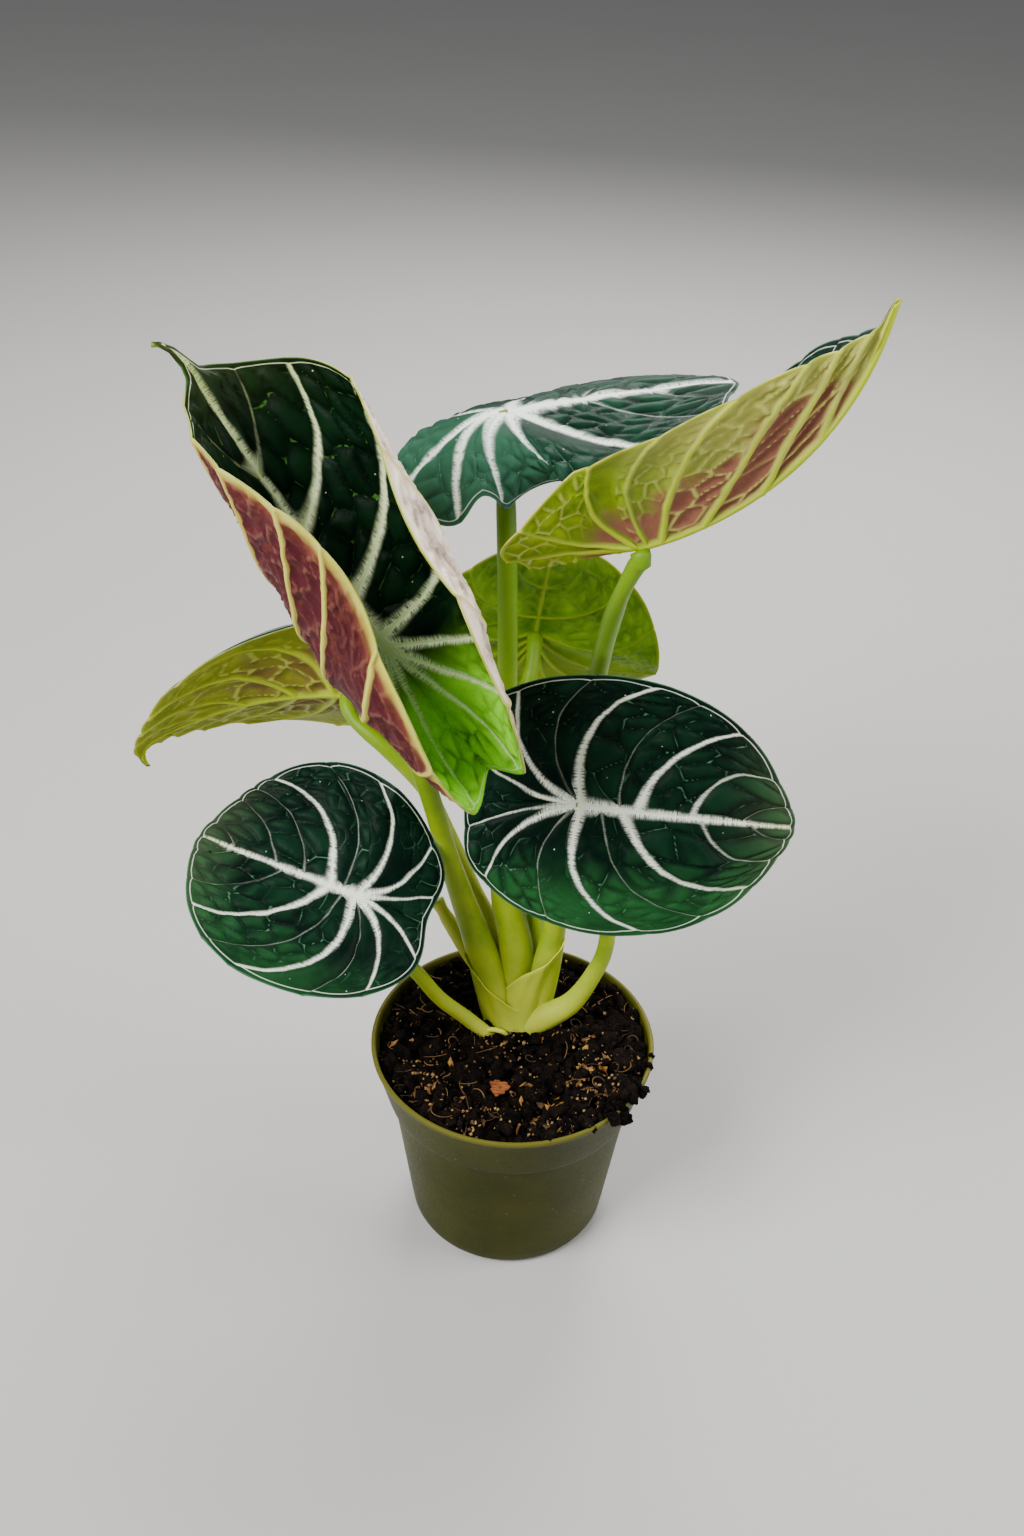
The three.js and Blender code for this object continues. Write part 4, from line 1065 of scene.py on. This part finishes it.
def new_leaf(node, **sizes):
    """A leaf's sizes in mm, degrees and shares; what it doesn't name is as in most leaves."""
    usual = dict(tail=0.0, tail_from=0.8, tail_drop=0, rise_more=0, point_angle=0.25, notch_angle=0.35,
                 blush=even(0.0), cream=even(0.0))
    halves = {name: {"edge": (0, 0, 0), **sizes[name]} for name in ("left", "right")}
    return {"node": node, **usual, **sizes, **halves}


dark_upper = upper_material("dark_upper_side", (3, 17, 12), (11, 42, 25), (36, 94, 44),
                            (240, 246, 228), (226, 234, 180), (80, 134, 94))
cream_margin = margin_material("cream_margin", (140, 150, 30), (186, 182, 96))
green_margin = margin_material("green_margin", (30, 62, 46), (72, 108, 76))
pale_under = under_material("plain_under_side", (50, 66, 22), (80, 96, 34),
                            (70, 40, 38), (96, 62, 50), (150, 146, 90),
                            (120, 134, 40), (100, 118, 46))

# Trough leaf: the tallest at the left, rolled lengthwise into a trough that opens
# to the front, so that its cream and maroon underside shows along both walls.
# Each vein: where it leaves the midrib, its end as a share of the margin, its bow, its strength.
LEAF_TROUGH = new_leaf(
    "leaf_trough", seed=101, joint=(-44.5, -10.0, 261.5),
    tip=113.5, lobe=52.5, half=70.5, egg=-0.11, tail=14.0,
    point=6.5, point_angle=0.2, notch=6.5,
    rise=(51, 46, 63), heading=(177, 154, 178), lean=(-61, -26, -9),
    tail_from=0.86, tail_drop=-65,
    left=dict(fold=(47, -3, 4), curl=(76, 143, 78), veins=(
        (62, 0.06, 0.1, 0.3), (43, 0.12, 0.3, 0.8), (24, 0.2, 0.35, 0.9), (12, 0.3, 0.4, 1.0),
        (3, 0.39, 0.42, 1.0), (0, 0.56, 0.35, 0.9), (0, 0.7, 0.36, 0.9), (0, 0.88, 0.1, 0.8))),
    right=dict(fold=(65, 22, -7), curl=(76, 134, 206), veins=(
        (62, 0.06, 0.1, 0.3), (43, 0.12, 0.3, 0.9), (17, 0.225, 0.25, 1.0), (3, 0.34, 0.38, 1.0),
        (0, 0.57, 0.37, 0.85), (0, 0.7, 0.38, 1.0), (0, 0.88, 0.1, 0.9))),
    vein_width=1.35, rib=1.0, strip_mm=8.5, link_mm=13.0,
    # Painted light: the blade is painted brighter towards its lobes.
    glow=lambda x, y, sign: (np.clip(((4 if sign > 0 else 2) - x) / 32, 0, 1) * 1.3
                             * (1 if sign > 0 else np.clip((54 - y) / 30, 0.35, 1))),
    blush=lambda x, y, sign: np.clip((x + 50) / 8, 0, 1) * (1.0 if sign > 0 else 0.31),
    cream=lambda x, y, sign: 0 * y if sign > 0 else np.clip((y - 30) / 20, 0.3, 1),
)
trough_upper = upper_material("trough_inner_side", (2, 12, 6), (8, 34, 15), (150, 228, 44),
                              (226, 240, 186), (186, 210, 80), (70, 126, 40), feather=1.1)
trough_under = under_material("trough_outer_side", (178, 166, 52), (214, 202, 112),
                              (74, 27, 33), (126, 70, 48), (250, 232, 210),
                              (200, 200, 82), (160, 108, 84),
                              clear=0.6, line_share=0.3, dusk_from=4.2, dusk_full=11.0)
make_blade(LEAF_TROUGH, [trough_upper, trough_under, cream_margin], 230, 62)

# Round leaf: the lowest at the left, nearly flat and facing up to the front, on
# a petiole of its own that comes out of the soil beside the crown.
LEAF_ROUND = new_leaf(
    "leaf_round", seed=202, joint=(-57.5, -5.0, 157.0),
    tip=60.5, lobe=32.0, half=43.5, egg=-0.09,
    point=2.0, notch=7.0,
    rise=(10, 16, 7), heading=(171, 170, 159), lean=(-32, -32, -32),
    left=dict(fold=(-2, 7, 20), curl=(0, 7, 0), veins=(
        (46, 0.04, 0.2, 0.15), (27, 0.12, 0.3, 0.25), (10, 0.195, 0.3, 0.95), (4.5, 0.29, 0.42, 0.3),
        (0.5, 0.385, 0.5, 1.0), (0, 0.56, 0.42, 0.3), (0, 0.69, 0.4, 0.95), (0, 0.87, 0.2, 0.9))),
    right=dict(fold=(-8, 10, -8), curl=(0, 10, 0), veins=(
        (46, 0.05, 0.2, 0.15), (30, 0.13, 0.25, 0.3), (19.5, 0.175, 0.35, 0.25), (9.5, 0.22, 0.45, 0.95),
        (5, 0.38, 0.36, 0.3), (0, 0.52, 0.42, 1.0), (0, 0.75, 0.3, 0.9), (0, 0.92, 0.06, 0.8))),
    vein_width=0.95, rib=0.7, strip_mm=6.5, link_mm=10.0,
    # Painted light: brighter on the outer part of the left half and towards the tip.
    glow=lambda x, y, sign: (np.clip((y - 8) / 34, 0, 1) * 0.55 * (sign > 0)
                             + np.clip((x - 30) / 24, 0, 1) * 0.35 + 0.1 * (sign > 0)),
    blush=even(0.3),
)
make_blade(LEAF_ROUND, [dark_upper, pale_under, green_margin], 200, 56)

# Oval leaf: in front at the right, flat, with its dark upper side to the front.
LEAF_OVAL = new_leaf(
    "leaf_oval", seed=303, joint=(19.0, -5.0, 199.5),
    tip=74.0, lobe=45.0, half=45.0, egg=0.02,
    point=4.0, notch=9.5,
    rise=(18, -2, -7), heading=(-7, -7, 6), lean=(60, 60, 60),
    left=dict(fold=(0, 4, 4), curl=(0, 4, 0), veins=(
        (55, 0.045, 0.25, 0.15), (38, 0.105, 0.5, 0.5), (20, 0.238, 0.35, 0.95), (14, 0.34, 0.4, 0.28),
        (1.5, 0.428, 0.5, 1.0), (0, 0.55, 0.42, 0.3), (0, 0.665, 0.42, 0.85), (0, 0.83, 0.25, 0.7))),
    right=dict(fold=(-5, -8, -3), curl=(0, -7, 0), veins=(
        (58, 0.03, 0.25, 0.15), (41.5, 0.075, 0.5, 0.4), (15, 0.165, 0.42, 0.95), (8, 0.27, 0.48, 0.3),
        (1.5, 0.395, 0.55, 1.0), (0, 0.6, 0.4, 0.35), (0, 0.79, 0.23, 0.95), (0, 0.94, 0.06, 0.55))),
    vein_width=1.05, rib=0.7, strip_mm=7.5, link_mm=12.0,
    # Painted light: brighter on the outer part of the right half and towards the tip.
    glow=lambda x, y, sign: (np.clip((y - 6) / 26, 0, 1) * 0.72 * (sign < 0)
                             + np.clip((x - 46) / 26, 0, 1) * 0.5),
    blush=even(0.3),
)
make_blade(LEAF_OVAL, [dark_upper, pale_under, green_margin], 220, 60)

# Canoe leaf: the tallest at the right, folded like a canoe and seen from below,
# yellow green with raised ribs and dusky purple patches along its keel.
CANOE_VEINS = ((68, 0.035, 0.15, 0.5), (44, 0.09, 0.12, 0.9), (22.5, 0.15, 0.17, 1.0), (8, 0.28, 0.3, 1.0),
               (3, 0.42, 0.42, 0.35), (0, 0.565, 0.45, 0.95), (0, 0.74, 0.3, 0.8), (0, 0.9, 0.08, 0.6))
LEAF_CANOE = new_leaf(
    "leaf_canoe", seed=404, joint=(33.0, 2.0, 292.5),
    tip=112.0, lobe=43.0, half=42.0, egg=0.03, tail=8.0,
    point=6.0, point_angle=0.2, notch=10.5,
    rise=(17, 26, 72), rise_more=12, heading=(-17, -22, -26), lean=(11, -9, -3),
    left=dict(fold=(-35, 18, 50), curl=(0, 10, 10), veins=CANOE_VEINS),
    right=dict(fold=(47, 49, 45), curl=(-6, -4, -6), veins=CANOE_VEINS),
    vein_width=0.68, rib=1.0, strip_mm=7.0, link_mm=12.0,
    # Painted light: a little, evenly over the blade.
    glow=even(0.35),
    blush=lambda x, y, sign: (np.clip((28 - y) / 24, 0, 1) * np.clip((x + 26) / 22, 0, 1)
                              * np.clip((104 - x) / 40, 0.1, 1)),
    cream=lambda x, y, sign: np.clip((x - 4) / 50, 0, 1) * 0.6,
)
canoe_under = under_material("canoe_under_side", (102, 132, 0), (168, 198, 2),
                             (142, 90, 72), (168, 128, 78), (196, 184, 108),
                             (182, 198, 30), (196, 202, 96), clear=1.3, line_share=0.8)
teal_upper = upper_material("teal_upper_side", (7, 28, 20), (20, 56, 38), (50, 94, 70),
                            (240, 248, 236), (246, 250, 238), (96, 146, 112), feather=0.9)
make_blade(LEAF_CANOE, [teal_upper, canoe_under, cream_margin], 220, 60)

# Saddle leaf: level behind the tall ones, its halves turned down like a saddle,
# with the widest white veins.
LEAF_SADDLE = new_leaf(
    "leaf_saddle", seed=505, joint=(-9.5, 74.0, 306.5),
    tip=99.5, lobe=47.5, half=41.0, egg=-0.06,
    point=8.0, point_angle=0.2, notch=11.5, notch_angle=0.25,
    rise=(50, -5, -1), heading=(130, 42, 20), lean=(3, 3, -1),
    left=dict(fold=(-26, -12, -3), curl=(-32, -32, -11), veins=(
        (62, 0.05, 0.3, 0.25), (34, 0.14, 0.3, 0.3), (2, 0.32, 0.2, 1.0), (0, 0.55, 0.35, 0.6),
        (0, 0.74, 0.24, 1.0), (0, 0.91, 0.06, 1.0))),
    right=dict(fold=(-21, -13, -5), curl=(-14, -21, 1), veins=(
        (62, 0.05, 0.3, 0.25), (34, 0.14, 0.3, 0.3), (2, 0.32, 0.2, 1.0), (0, 0.65, 0.12, 1.0),
        (0, 0.92, 0.0, 1.0))),
    vein_width=2.1, rib=0.8, strip_mm=7.0, link_mm=12.0,
    # Painted light: some all over, most towards the lobes.
    glow=lambda x, y, sign: 0.3 + 0.7 * np.clip((6 - x) / 24, 0, 1),
    blush=even(0.25),
)
make_blade(LEAF_SADDLE, [teal_upper, pale_under, green_margin], 220, 60)

# Back leaf: hangs behind the oval leaf with its bright underside to the front.
BACK_VEINS = ((30, 0.12, 0.3, 0.5), (12, 0.25, 0.4, 0.9), (2, 0.42, 0.45, 1.0), (0, 0.6, 0.4, 0.9),
              (0, 0.78, 0.3, 0.9), (0, 0.93, 0.1, 0.6))
LEAF_BACK = new_leaf(
    "leaf_back", seed=606, joint=(3.5, 90.0, 211.5),
    tip=64.5, lobe=38.5, half=48.0, egg=0.25,
    point=7.5, notch=10.0,
    rise=(66, 66, 59), heading=(-79, -79, -79), lean=(-6, -6, -6),
    left=dict(fold=(3, -15, 0), curl=(0, -3, 0), veins=BACK_VEINS),
    right=dict(fold=(0, -5, 0), curl=(0, 0, 0), veins=BACK_VEINS),
    vein_width=0.8, rib=0.7, strip_mm=6.5, link_mm=10.0,
    # Painted light: a little, evenly over the blade.
    glow=even(0.1),
    cream=lambda x, y, sign: np.clip(-x / 20, 0, 1) * 0.5,
)
back_under = under_material("back_under_side", (74, 120, 0), (132, 176, 0),
                            (70, 40, 38), (96, 62, 50), (146, 158, 26),
                            (136, 160, 10), (116, 146, 16), line_share=0.7)
make_blade(LEAF_BACK, [dark_upper, back_under, cream_margin], 160, 42)

# Drooping leaf: far left, its tip bent down, seen from below, with the upper
# side showing only where the far margin rolls over.
DROOPING_VEINS = ((58, 0.07, 0.2, 0.6), (40, 0.13, 0.25, 0.9), (20, 0.21, 0.3, 1.0), (5, 0.33, 0.4, 1.0),
                  (0, 0.55, 0.4, 0.8), (0, 0.75, 0.3, 0.8), (0, 0.92, 0.1, 0.6))
LEAF_DROOPING = new_leaf(
    "leaf_drooping", seed=707, joint=(-67.0, 70.0, 193.5),
    tip=95.5, lobe=34.5, half=40.0, egg=0.05, tail=6.0,
    point=7.5, notch=10.0,
    rise=(0, 0, -38), heading=(178, 178, 186), lean=(58, 58, 42),
    tail_drop=-103,
    left=dict(fold=(0, 28, -12), curl=(-10, 13, -15), edge=(-60, -90, -40), veins=DROOPING_VEINS),
    right=dict(fold=(0, 6, 10), curl=(0, 3, -3), veins=DROOPING_VEINS),
    vein_width=0.85, rib=0.8, strip_mm=6.0, link_mm=12.0,
    # Painted light: a little, evenly over the blade.
    glow=even(0.1),
    blush=lambda x, y, sign: 0.55 * np.clip((70 - x) / 40, 0, 1) * np.clip((34 - y) / 14, 0, 1),
)
drooping_under = under_material("drooping_under_side", (120, 132, 22), (164, 172, 48),
                                (112, 92, 40), (134, 116, 64), (120, 116, 40),
                                (172, 188, 20), (176, 184, 70), line_share=0.85)
make_blade(LEAF_DROOPING, [dark_upper, drooping_under, cream_margin], 170, 46)

# Petioles: solid, juicy, waxy stalks, one to each leaf. All but one grow from the
# crown, where each widens into a sheath that clasps the next; one is the stub of a
# leaf that was cut off. Yellow green above, they pale to cream at the foot. Higher
# up, under the blades, they are painted darker as painted shade, and the drooping
# leaf's petiole and the stub are painted paler as painted light.
TO_JOINT = 1.2
LANDING = 2.9
FOOT_RADIUS = 10.0
FOOT_DEPTH = 54.0
CROWN_TOP = 90.0
PETIOLE_SIDES = 40
PETIOLE_STEPS = 150
PETIOLES = [
    # leaf, radius, sheath radius, flare, approach, stop, the points that it passes
    (LEAF_TROUGH, 3.5, 8.0, 0.3, 13.0, 0.0,
     [(-6.5, 17, 89), (-13.5, 19, 113.5), (-21.5, 21, 139), (-27, 20, 160), (-31, 17, 180)]),
    (LEAF_SADDLE, 3.6, 7.8, 0.32, 12.0, 0.5,
     [(0, 22, 113), (-4.5, 27, 133), (-6.5, 37, 175), (-6.5, 47, 219), (-7.7, 55, 259), (-9, 66, 280)]),
    (LEAF_CANOE, 3.2, 7.6, 0.22, 4.0, 0.6,
     [(12.5, 19, 108.5), (15, 21, 129.5), (19.5, 26, 179.5), (24.5, 24.5, 233), (27, 14, 259.5),
      (29.6, 4, 277)]),
    (LEAF_OVAL, 3.0, 6.4, 0.24, 13.0, 0.0,
     [(5, 13, 79), (12.5, 10.5, 87), (21.5, 9, 95.5), (29, 8, 110.5), (33.5, 9, 125), (32, 13, 155)]),
    (LEAF_BACK, 3.2, 5.4, 0.3, 12.0, 0.0,
     [(7, 32, 120), (5, 46, 146), (2.5, 62, 172), (1, 73, 193)]),
    (LEAF_DROOPING, 3.0, 5.4, 0.3, 10.0, 0.0,
     [(-8, 29, 111), (-17, 35, 129), (-27, 43, 149), (-36, 49, 165), (-52, 54, 181)]),
]
PETIOLE_ROUND = (LEAF_ROUND, 2.7, 3.1, 0.3, 11.0, 0.0,
                 [(-2, 8.5, 69), (-9, 6, 79.5), (-17.5, 4, 90.5), (-28, 0, 104.5), (-36.5, -2, 119),
                  (-49, -1, 135)])
# Petioles painted paler higher up, as painted light.
LIT_PALE_PETIOLES = ("petiole_stub", "petiole_drooping")
PALE_BELOW = 80
PALE_FADE = 46
START_HEIGHT = 68
STUB = (None, 2.9, 4.6, 0.3, 0.0, 0.0, [(-11, 22, 95), (-18, 25, 104.5), (-25, 29, 115.5), (-31, 32.5, 125)])


def joint_of(leaf):
    """Where a petiole ends under its blade, and the direction out of the blade there: the sum
    of the undersides' normals of the two halves. The end is sunk in the rib there."""
    place, side, normal = (part[0] for part in midrib_frame(leaf, np.zeros(1)))
    left, right = (math.radians(leaf[name]["fold"][1]) for name in ("left", "right"))
    down = -normal * (math.cos(left) + math.cos(right)) + side * (math.sin(left) - math.sin(right))
    down /= np.linalg.norm(down)
    return down, place + down * TO_JOINT


def smooth_path(points, steps):
    """A smooth curve through points, in equal steps: each piece is a cubic whose end slopes come
    from its neighbours, weighted by the square root of the distances between the points."""
    points = np.asarray(points, float)
    padded = np.vstack([2 * points[0] - points[1], points, 2 * points[-1] - points[-2]])
    pieces = []
    t = np.linspace(0, 1, 60)[:, None]
    for p0, p1, p2, p3 in zip(padded, padded[1:], padded[2:], padded[3:]):
        d0, d1, d2 = (math.sqrt(np.linalg.norm(b - a)) for a, b in ((p0, p1), (p1, p2), (p2, p3)))
        m1 = ((p1 - p0) / d0 - (p2 - p0) / (d0 + d1) + (p2 - p1) / d1) * d1
        m2 = ((p2 - p1) / d1 - (p3 - p1) / (d1 + d2) + (p3 - p2) / d2) * d1
        cubic = (p1 + m1 * t + (-3 * p1 + 3 * p2 - 2 * m1 - m2) * t ** 2
                 + (2 * p1 - 2 * p2 + m1 + m2) * t ** 3)
        pieces.append(cubic[:-1])
    pieces.append(points[-1:])
    line = np.vstack(pieces)
    length = np.concatenate([[0], np.cumsum(np.linalg.norm(np.diff(line, axis=0), axis=1))])
    even_length = np.linspace(0, length[-1], steps + 1)
    return np.stack([np.interp(even_length, length, line[:, axis]) for axis in range(3)], 1), length[-1]


def stalk(path, radius, sides):
    """A closed tube along a path; radius(t, angle) gives its outline. The frame is carried
    along without twisting, and both ends close in a flat fan."""
    steps = len(path) - 1
    tangent = np.gradient(path, axis=0)
    tangent /= np.linalg.norm(tangent, axis=1, keepdims=True)
    across = np.array([1.0, 0.0, 0.0])
    frames = []
    for direction in tangent:
        across = across - direction * (across @ direction)
        across /= np.linalg.norm(across)
        frames.append(across)
    across = np.array(frames)
    over = np.cross(tangent, across)
    angle = np.arange(sides) * (2 * np.pi / sides)
    t = np.linspace(0, 1, steps + 1)
    size = radius(t[:, None], angle[None, :])
    ring = across[:, None] * np.cos(angle)[:, None] + over[:, None] * np.sin(angle)[:, None]
    points = (path[:, None] + ring * size[..., None]).reshape(-1, 3)
    points = np.vstack([points, path[:1], path[-1:]])
    share = np.concatenate([np.repeat(t, sides), [0, 1]])
    round_share = np.concatenate([np.tile(angle / (2 * np.pi), steps + 1), [0, 0]])
    return points, closed_faces(steps + 1, sides), share, round_share


petiole_skin, shader, place = new_material("petiole_skin", 0.4, 0.25)
run, around_share, pale_and_lit_share = attribute_parts("stalk")
streak_place = add_node("ShaderNodeCombineXYZ", {
    "X": times(run, 0.05), "Y": times(around_share, 1.0)}).outputs[0]
streak = noise(streak_place, 14.0, 3.0, 0.6)
cloud = noise(place, 60.0, 3.0)
fine = noise(place, 1500.0, 2.0)
height = add_node("ShaderNodeSeparateXYZ", {"Vector": place}).outputs["Z"]
green = blend(ramp(cloud, 0.3, 0.7), linear(116, 144, 0), linear(154, 172, 2))
# Painted shade: the stalks are painted a darker green higher up, under the blades.
green = blend(ramp(height, 0.13, 0.24, 0.0, 0.75), green, linear(84, 132, 0))
green = blend(times(ramp(streak, 0.5, 0.8), 0.4), green, linear(176, 186, 24))
# The pale foot, the pale sheath rims, and the painted light on two petioles.
green = blend(pale_and_lit_share, green, linear(208, 212, 74))
dots = add_node("ShaderNodeTexVoronoi", {"Vector": place, "Scale": 210.0}).outputs["Distance"]
green = blend(times(fall(dots, 0.03, 0.06), 0.5), green,
              linear(60, 72, 6))
paint(shader, green, 0.32, 0.46, fine)
bump(shader, math_node("ADD", streak, times(fine, 0.3)), 0.0001, 0.6)


def petiole_piece(name, details, foot):
    """A petiole: its radius swells into the sheath at the foot and narrows at the blade."""
    leaf, radius, sheath, flare, approach, stop, through = details
    points = [*foot, *through]
    if leaf:
        down, end = joint_of(leaf)
        back = np.array(through[-1]) - end
        arrival = back / np.linalg.norm(back) + down
        arrival /= np.linalg.norm(arrival)
        points += [end + arrival * approach, end + down * (LANDING + stop), end + down * stop]
    path, length = smooth_path(points, PETIOLE_STEPS)

    def size(t, angle):
        swell = (sheath - radius) * np.exp(-(t / flare) ** 2)
        neck = 0.16 * radius * np.sin(np.pi * np.clip((t - 0.86) / 0.14, 0, 1)) ** 2
        groove = 0.035 * radius * (1 + np.cos(angle * 3 + 1.0)) * 0.5
        return radius + swell - neck - groove + 0 * angle

    points, faces, share, round_share = stalk(path, size, PETIOLE_SIDES)
    piece = mesh_object(name, points, faces, [petiole_skin])
    height = points[:, 2]
    pale = np.clip(1 - (height - PALE_BELOW) / PALE_FADE, 0, 1) ** 1.4 * 0.85
    # Painted light: the drooping leaf's petiole and the stub are painted paler up to 180 mm, where strong
    # light falls on them.
    if name in LIT_PALE_PETIOLES:
        pale = np.maximum(pale, 0.9 * np.clip(1 - (height - 120) / 60, 0, 1))
    set_attribute(piece, "stalk", np.stack([share * length, round_share * 2 * np.pi * radius, pale], 1))
    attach(piece, "root")
    return piece


def crown_radius(t, angle):
    """The foot is straight in its lower half and round above it."""
    return FOOT_RADIUS * np.sqrt(1.02 - np.clip((t - 0.5) / 0.5, 0, 1) ** 2) + 0 * angle


path, length = smooth_path([(*CROWN, FOOT_DEPTH), (*CROWN, 74), (*CROWN, CROWN_TOP)], 24)
points, faces, share, round_share = stalk(path, crown_radius, 48)
crown = mesh_object("crown_foot", points, faces, [petiole_skin])
set_attribute(crown, "stalk", np.stack([share * length, round_share * 60, np.full(len(share), 0.9)], 1))
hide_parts("crown_and_petioles")
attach(crown, "root")
for details in [*PETIOLES, STUB]:
    first = details[-1][0]
    foot = [(CROWN[0] + (first[0] - CROWN[0]) * 0.25, CROWN[1] + (first[1] - CROWN[1]) * 0.25, START_HEIGHT)]
    name = details[0]["node"].replace("leaf", "petiole") if details[0] else "petiole_stub"
    petiole_piece(name, details, foot)
round_petiole = petiole_piece("petiole_round", PETIOLE_ROUND, [])
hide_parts("petiole_of_round_leaf")

# Sheaths: the broad feet of the two front petioles, thin shells that clasp the
# crown from the front. The left one overlaps the right one, and its pale free edge
# runs down from the left to the right; the right one's edge climbs to the right.
SHEATH_FOOT = 74.0
SHEATH_WALL = 1.1
SHEATH_AROUND = 90
SHEATH_UP = 46


def shell(outer, inner):
    """A closed sheet between two grids of points: both faces and the strip along the four edges."""
    rows, columns = outer.shape[:2]
    i, j = np.meshgrid(np.arange(rows - 1), np.arange(columns - 1), indexing="ij")
    a = (i * columns + j).ravel()
    front = np.stack([a, a + columns, a + columns + 1, a + 1], 1)
    number = np.arange(rows * columns).reshape(rows, columns)
    loop = np.concatenate([number[0], number[1:, -1], number[-1, -2::-1], number[-2:0:-1, 0]])
    nxt = np.roll(loop, -1)
    size = rows * columns
    edge = np.stack([loop, nxt, nxt + size, loop + size], 1)
    points = np.vstack([outer.reshape(-1, 3), inner.reshape(-1, 3)])
    return points, np.vstack([front, front[:, ::-1] + size, edge])


turn, up_share = np.meshgrid(np.linspace(0, 1, SHEATH_AROUND), np.linspace(0, 1, SHEATH_UP), indexing="ij")
sheath_angle = np.radians(-178 + 168 * turn)
left_rim = 84 + 28 * np.clip(1.12 - turn, 0, 1) ** 1.5
right_rim = 105 - 19 * np.clip(1 - turn / 0.42, 0, 1) ** 2 + 16 * turn ** 1.6
for name, rim_height, rise, lean, power, wide, narrow in (
        # rim height, climb to full lean, lean, power of the lean, radius at the foot, loss of radius
        ("crown_sheath", left_rim, 34.0, -14.0, 1.1, 11.6, 4.6),
        ("crown_sheath_right", right_rim, 42.0, 12.0, 1.4, 10.7, 5.0)):
    sheath_z = SHEATH_FOOT + (rim_height - SHEATH_FOOT) * up_share
    climb = np.clip((sheath_z - PALE_BELOW) / rise, 0, 1)
    sheath_axis = np.stack([CROWN[0] + lean * climb ** power, CROWN[1] + 2.0 * climb, sheath_z], -1)
    sheath_radius = wide - narrow * climb ** 0.8 + 0.8 * up_share ** 8 + 0.2 * np.sin(sheath_angle * 9)
    ahead = np.stack([np.cos(sheath_angle), np.sin(sheath_angle), np.zeros_like(turn)], -1)
    rim_thin = SHEATH_WALL * (1 - 0.7 * up_share ** 6)
    sheath_outer = sheath_axis + ahead * sheath_radius[..., None]
    sheath_inner = sheath_axis + ahead * (sheath_radius - rim_thin)[..., None]
    sheath = mesh_object(name, *shell(sheath_outer, sheath_inner), [petiole_skin])
    pale_rim = np.clip(0.3 + 0.6 * np.clip((up_share - 0.92) / 0.08, 0, 1) + 0.4 * (1 - climb), 0, 1)
    sheath_skin = np.stack([sheath_z.ravel(), (sheath_angle * 9).ravel(), pale_rim.ravel()], 1)
    set_attribute(sheath, "stalk", np.vstack([sheath_skin, sheath_skin]))
    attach(sheath, "root")

# Nub and root: a pale resting bud beside the crown, and one cream root tip that
# comes up out of the soil in front of it.
for name, nub_path, nub_radius in (
        ("crown_nub", [(10, 12, 80), (14.5, 11, 86), (17.5, 10.5, 89.5)], 2.3),
        ("root_tip", [(-14, 5.5, 80), (-9.5, 4.6, 84.6), (-4.5, 4.6, 84.0), (-1, 5.5, 80)], 1.0)):
    path, length = smooth_path(nub_path, 24)
    points, faces, share, round_share = stalk(
        path, lambda t, angle: nub_radius * np.sqrt(1.02 - t ** 6) + 0 * angle, 20)
    piece = mesh_object(name, points, faces, [petiole_skin])
    set_attribute(piece, "stalk", np.stack([share * length, round_share * 6, np.full(len(share), 1.0)], 1))
    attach(piece, "root")

sizes = {"cad": [list(corner) for corner in cad_box], "visual": [list(corner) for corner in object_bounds()]}
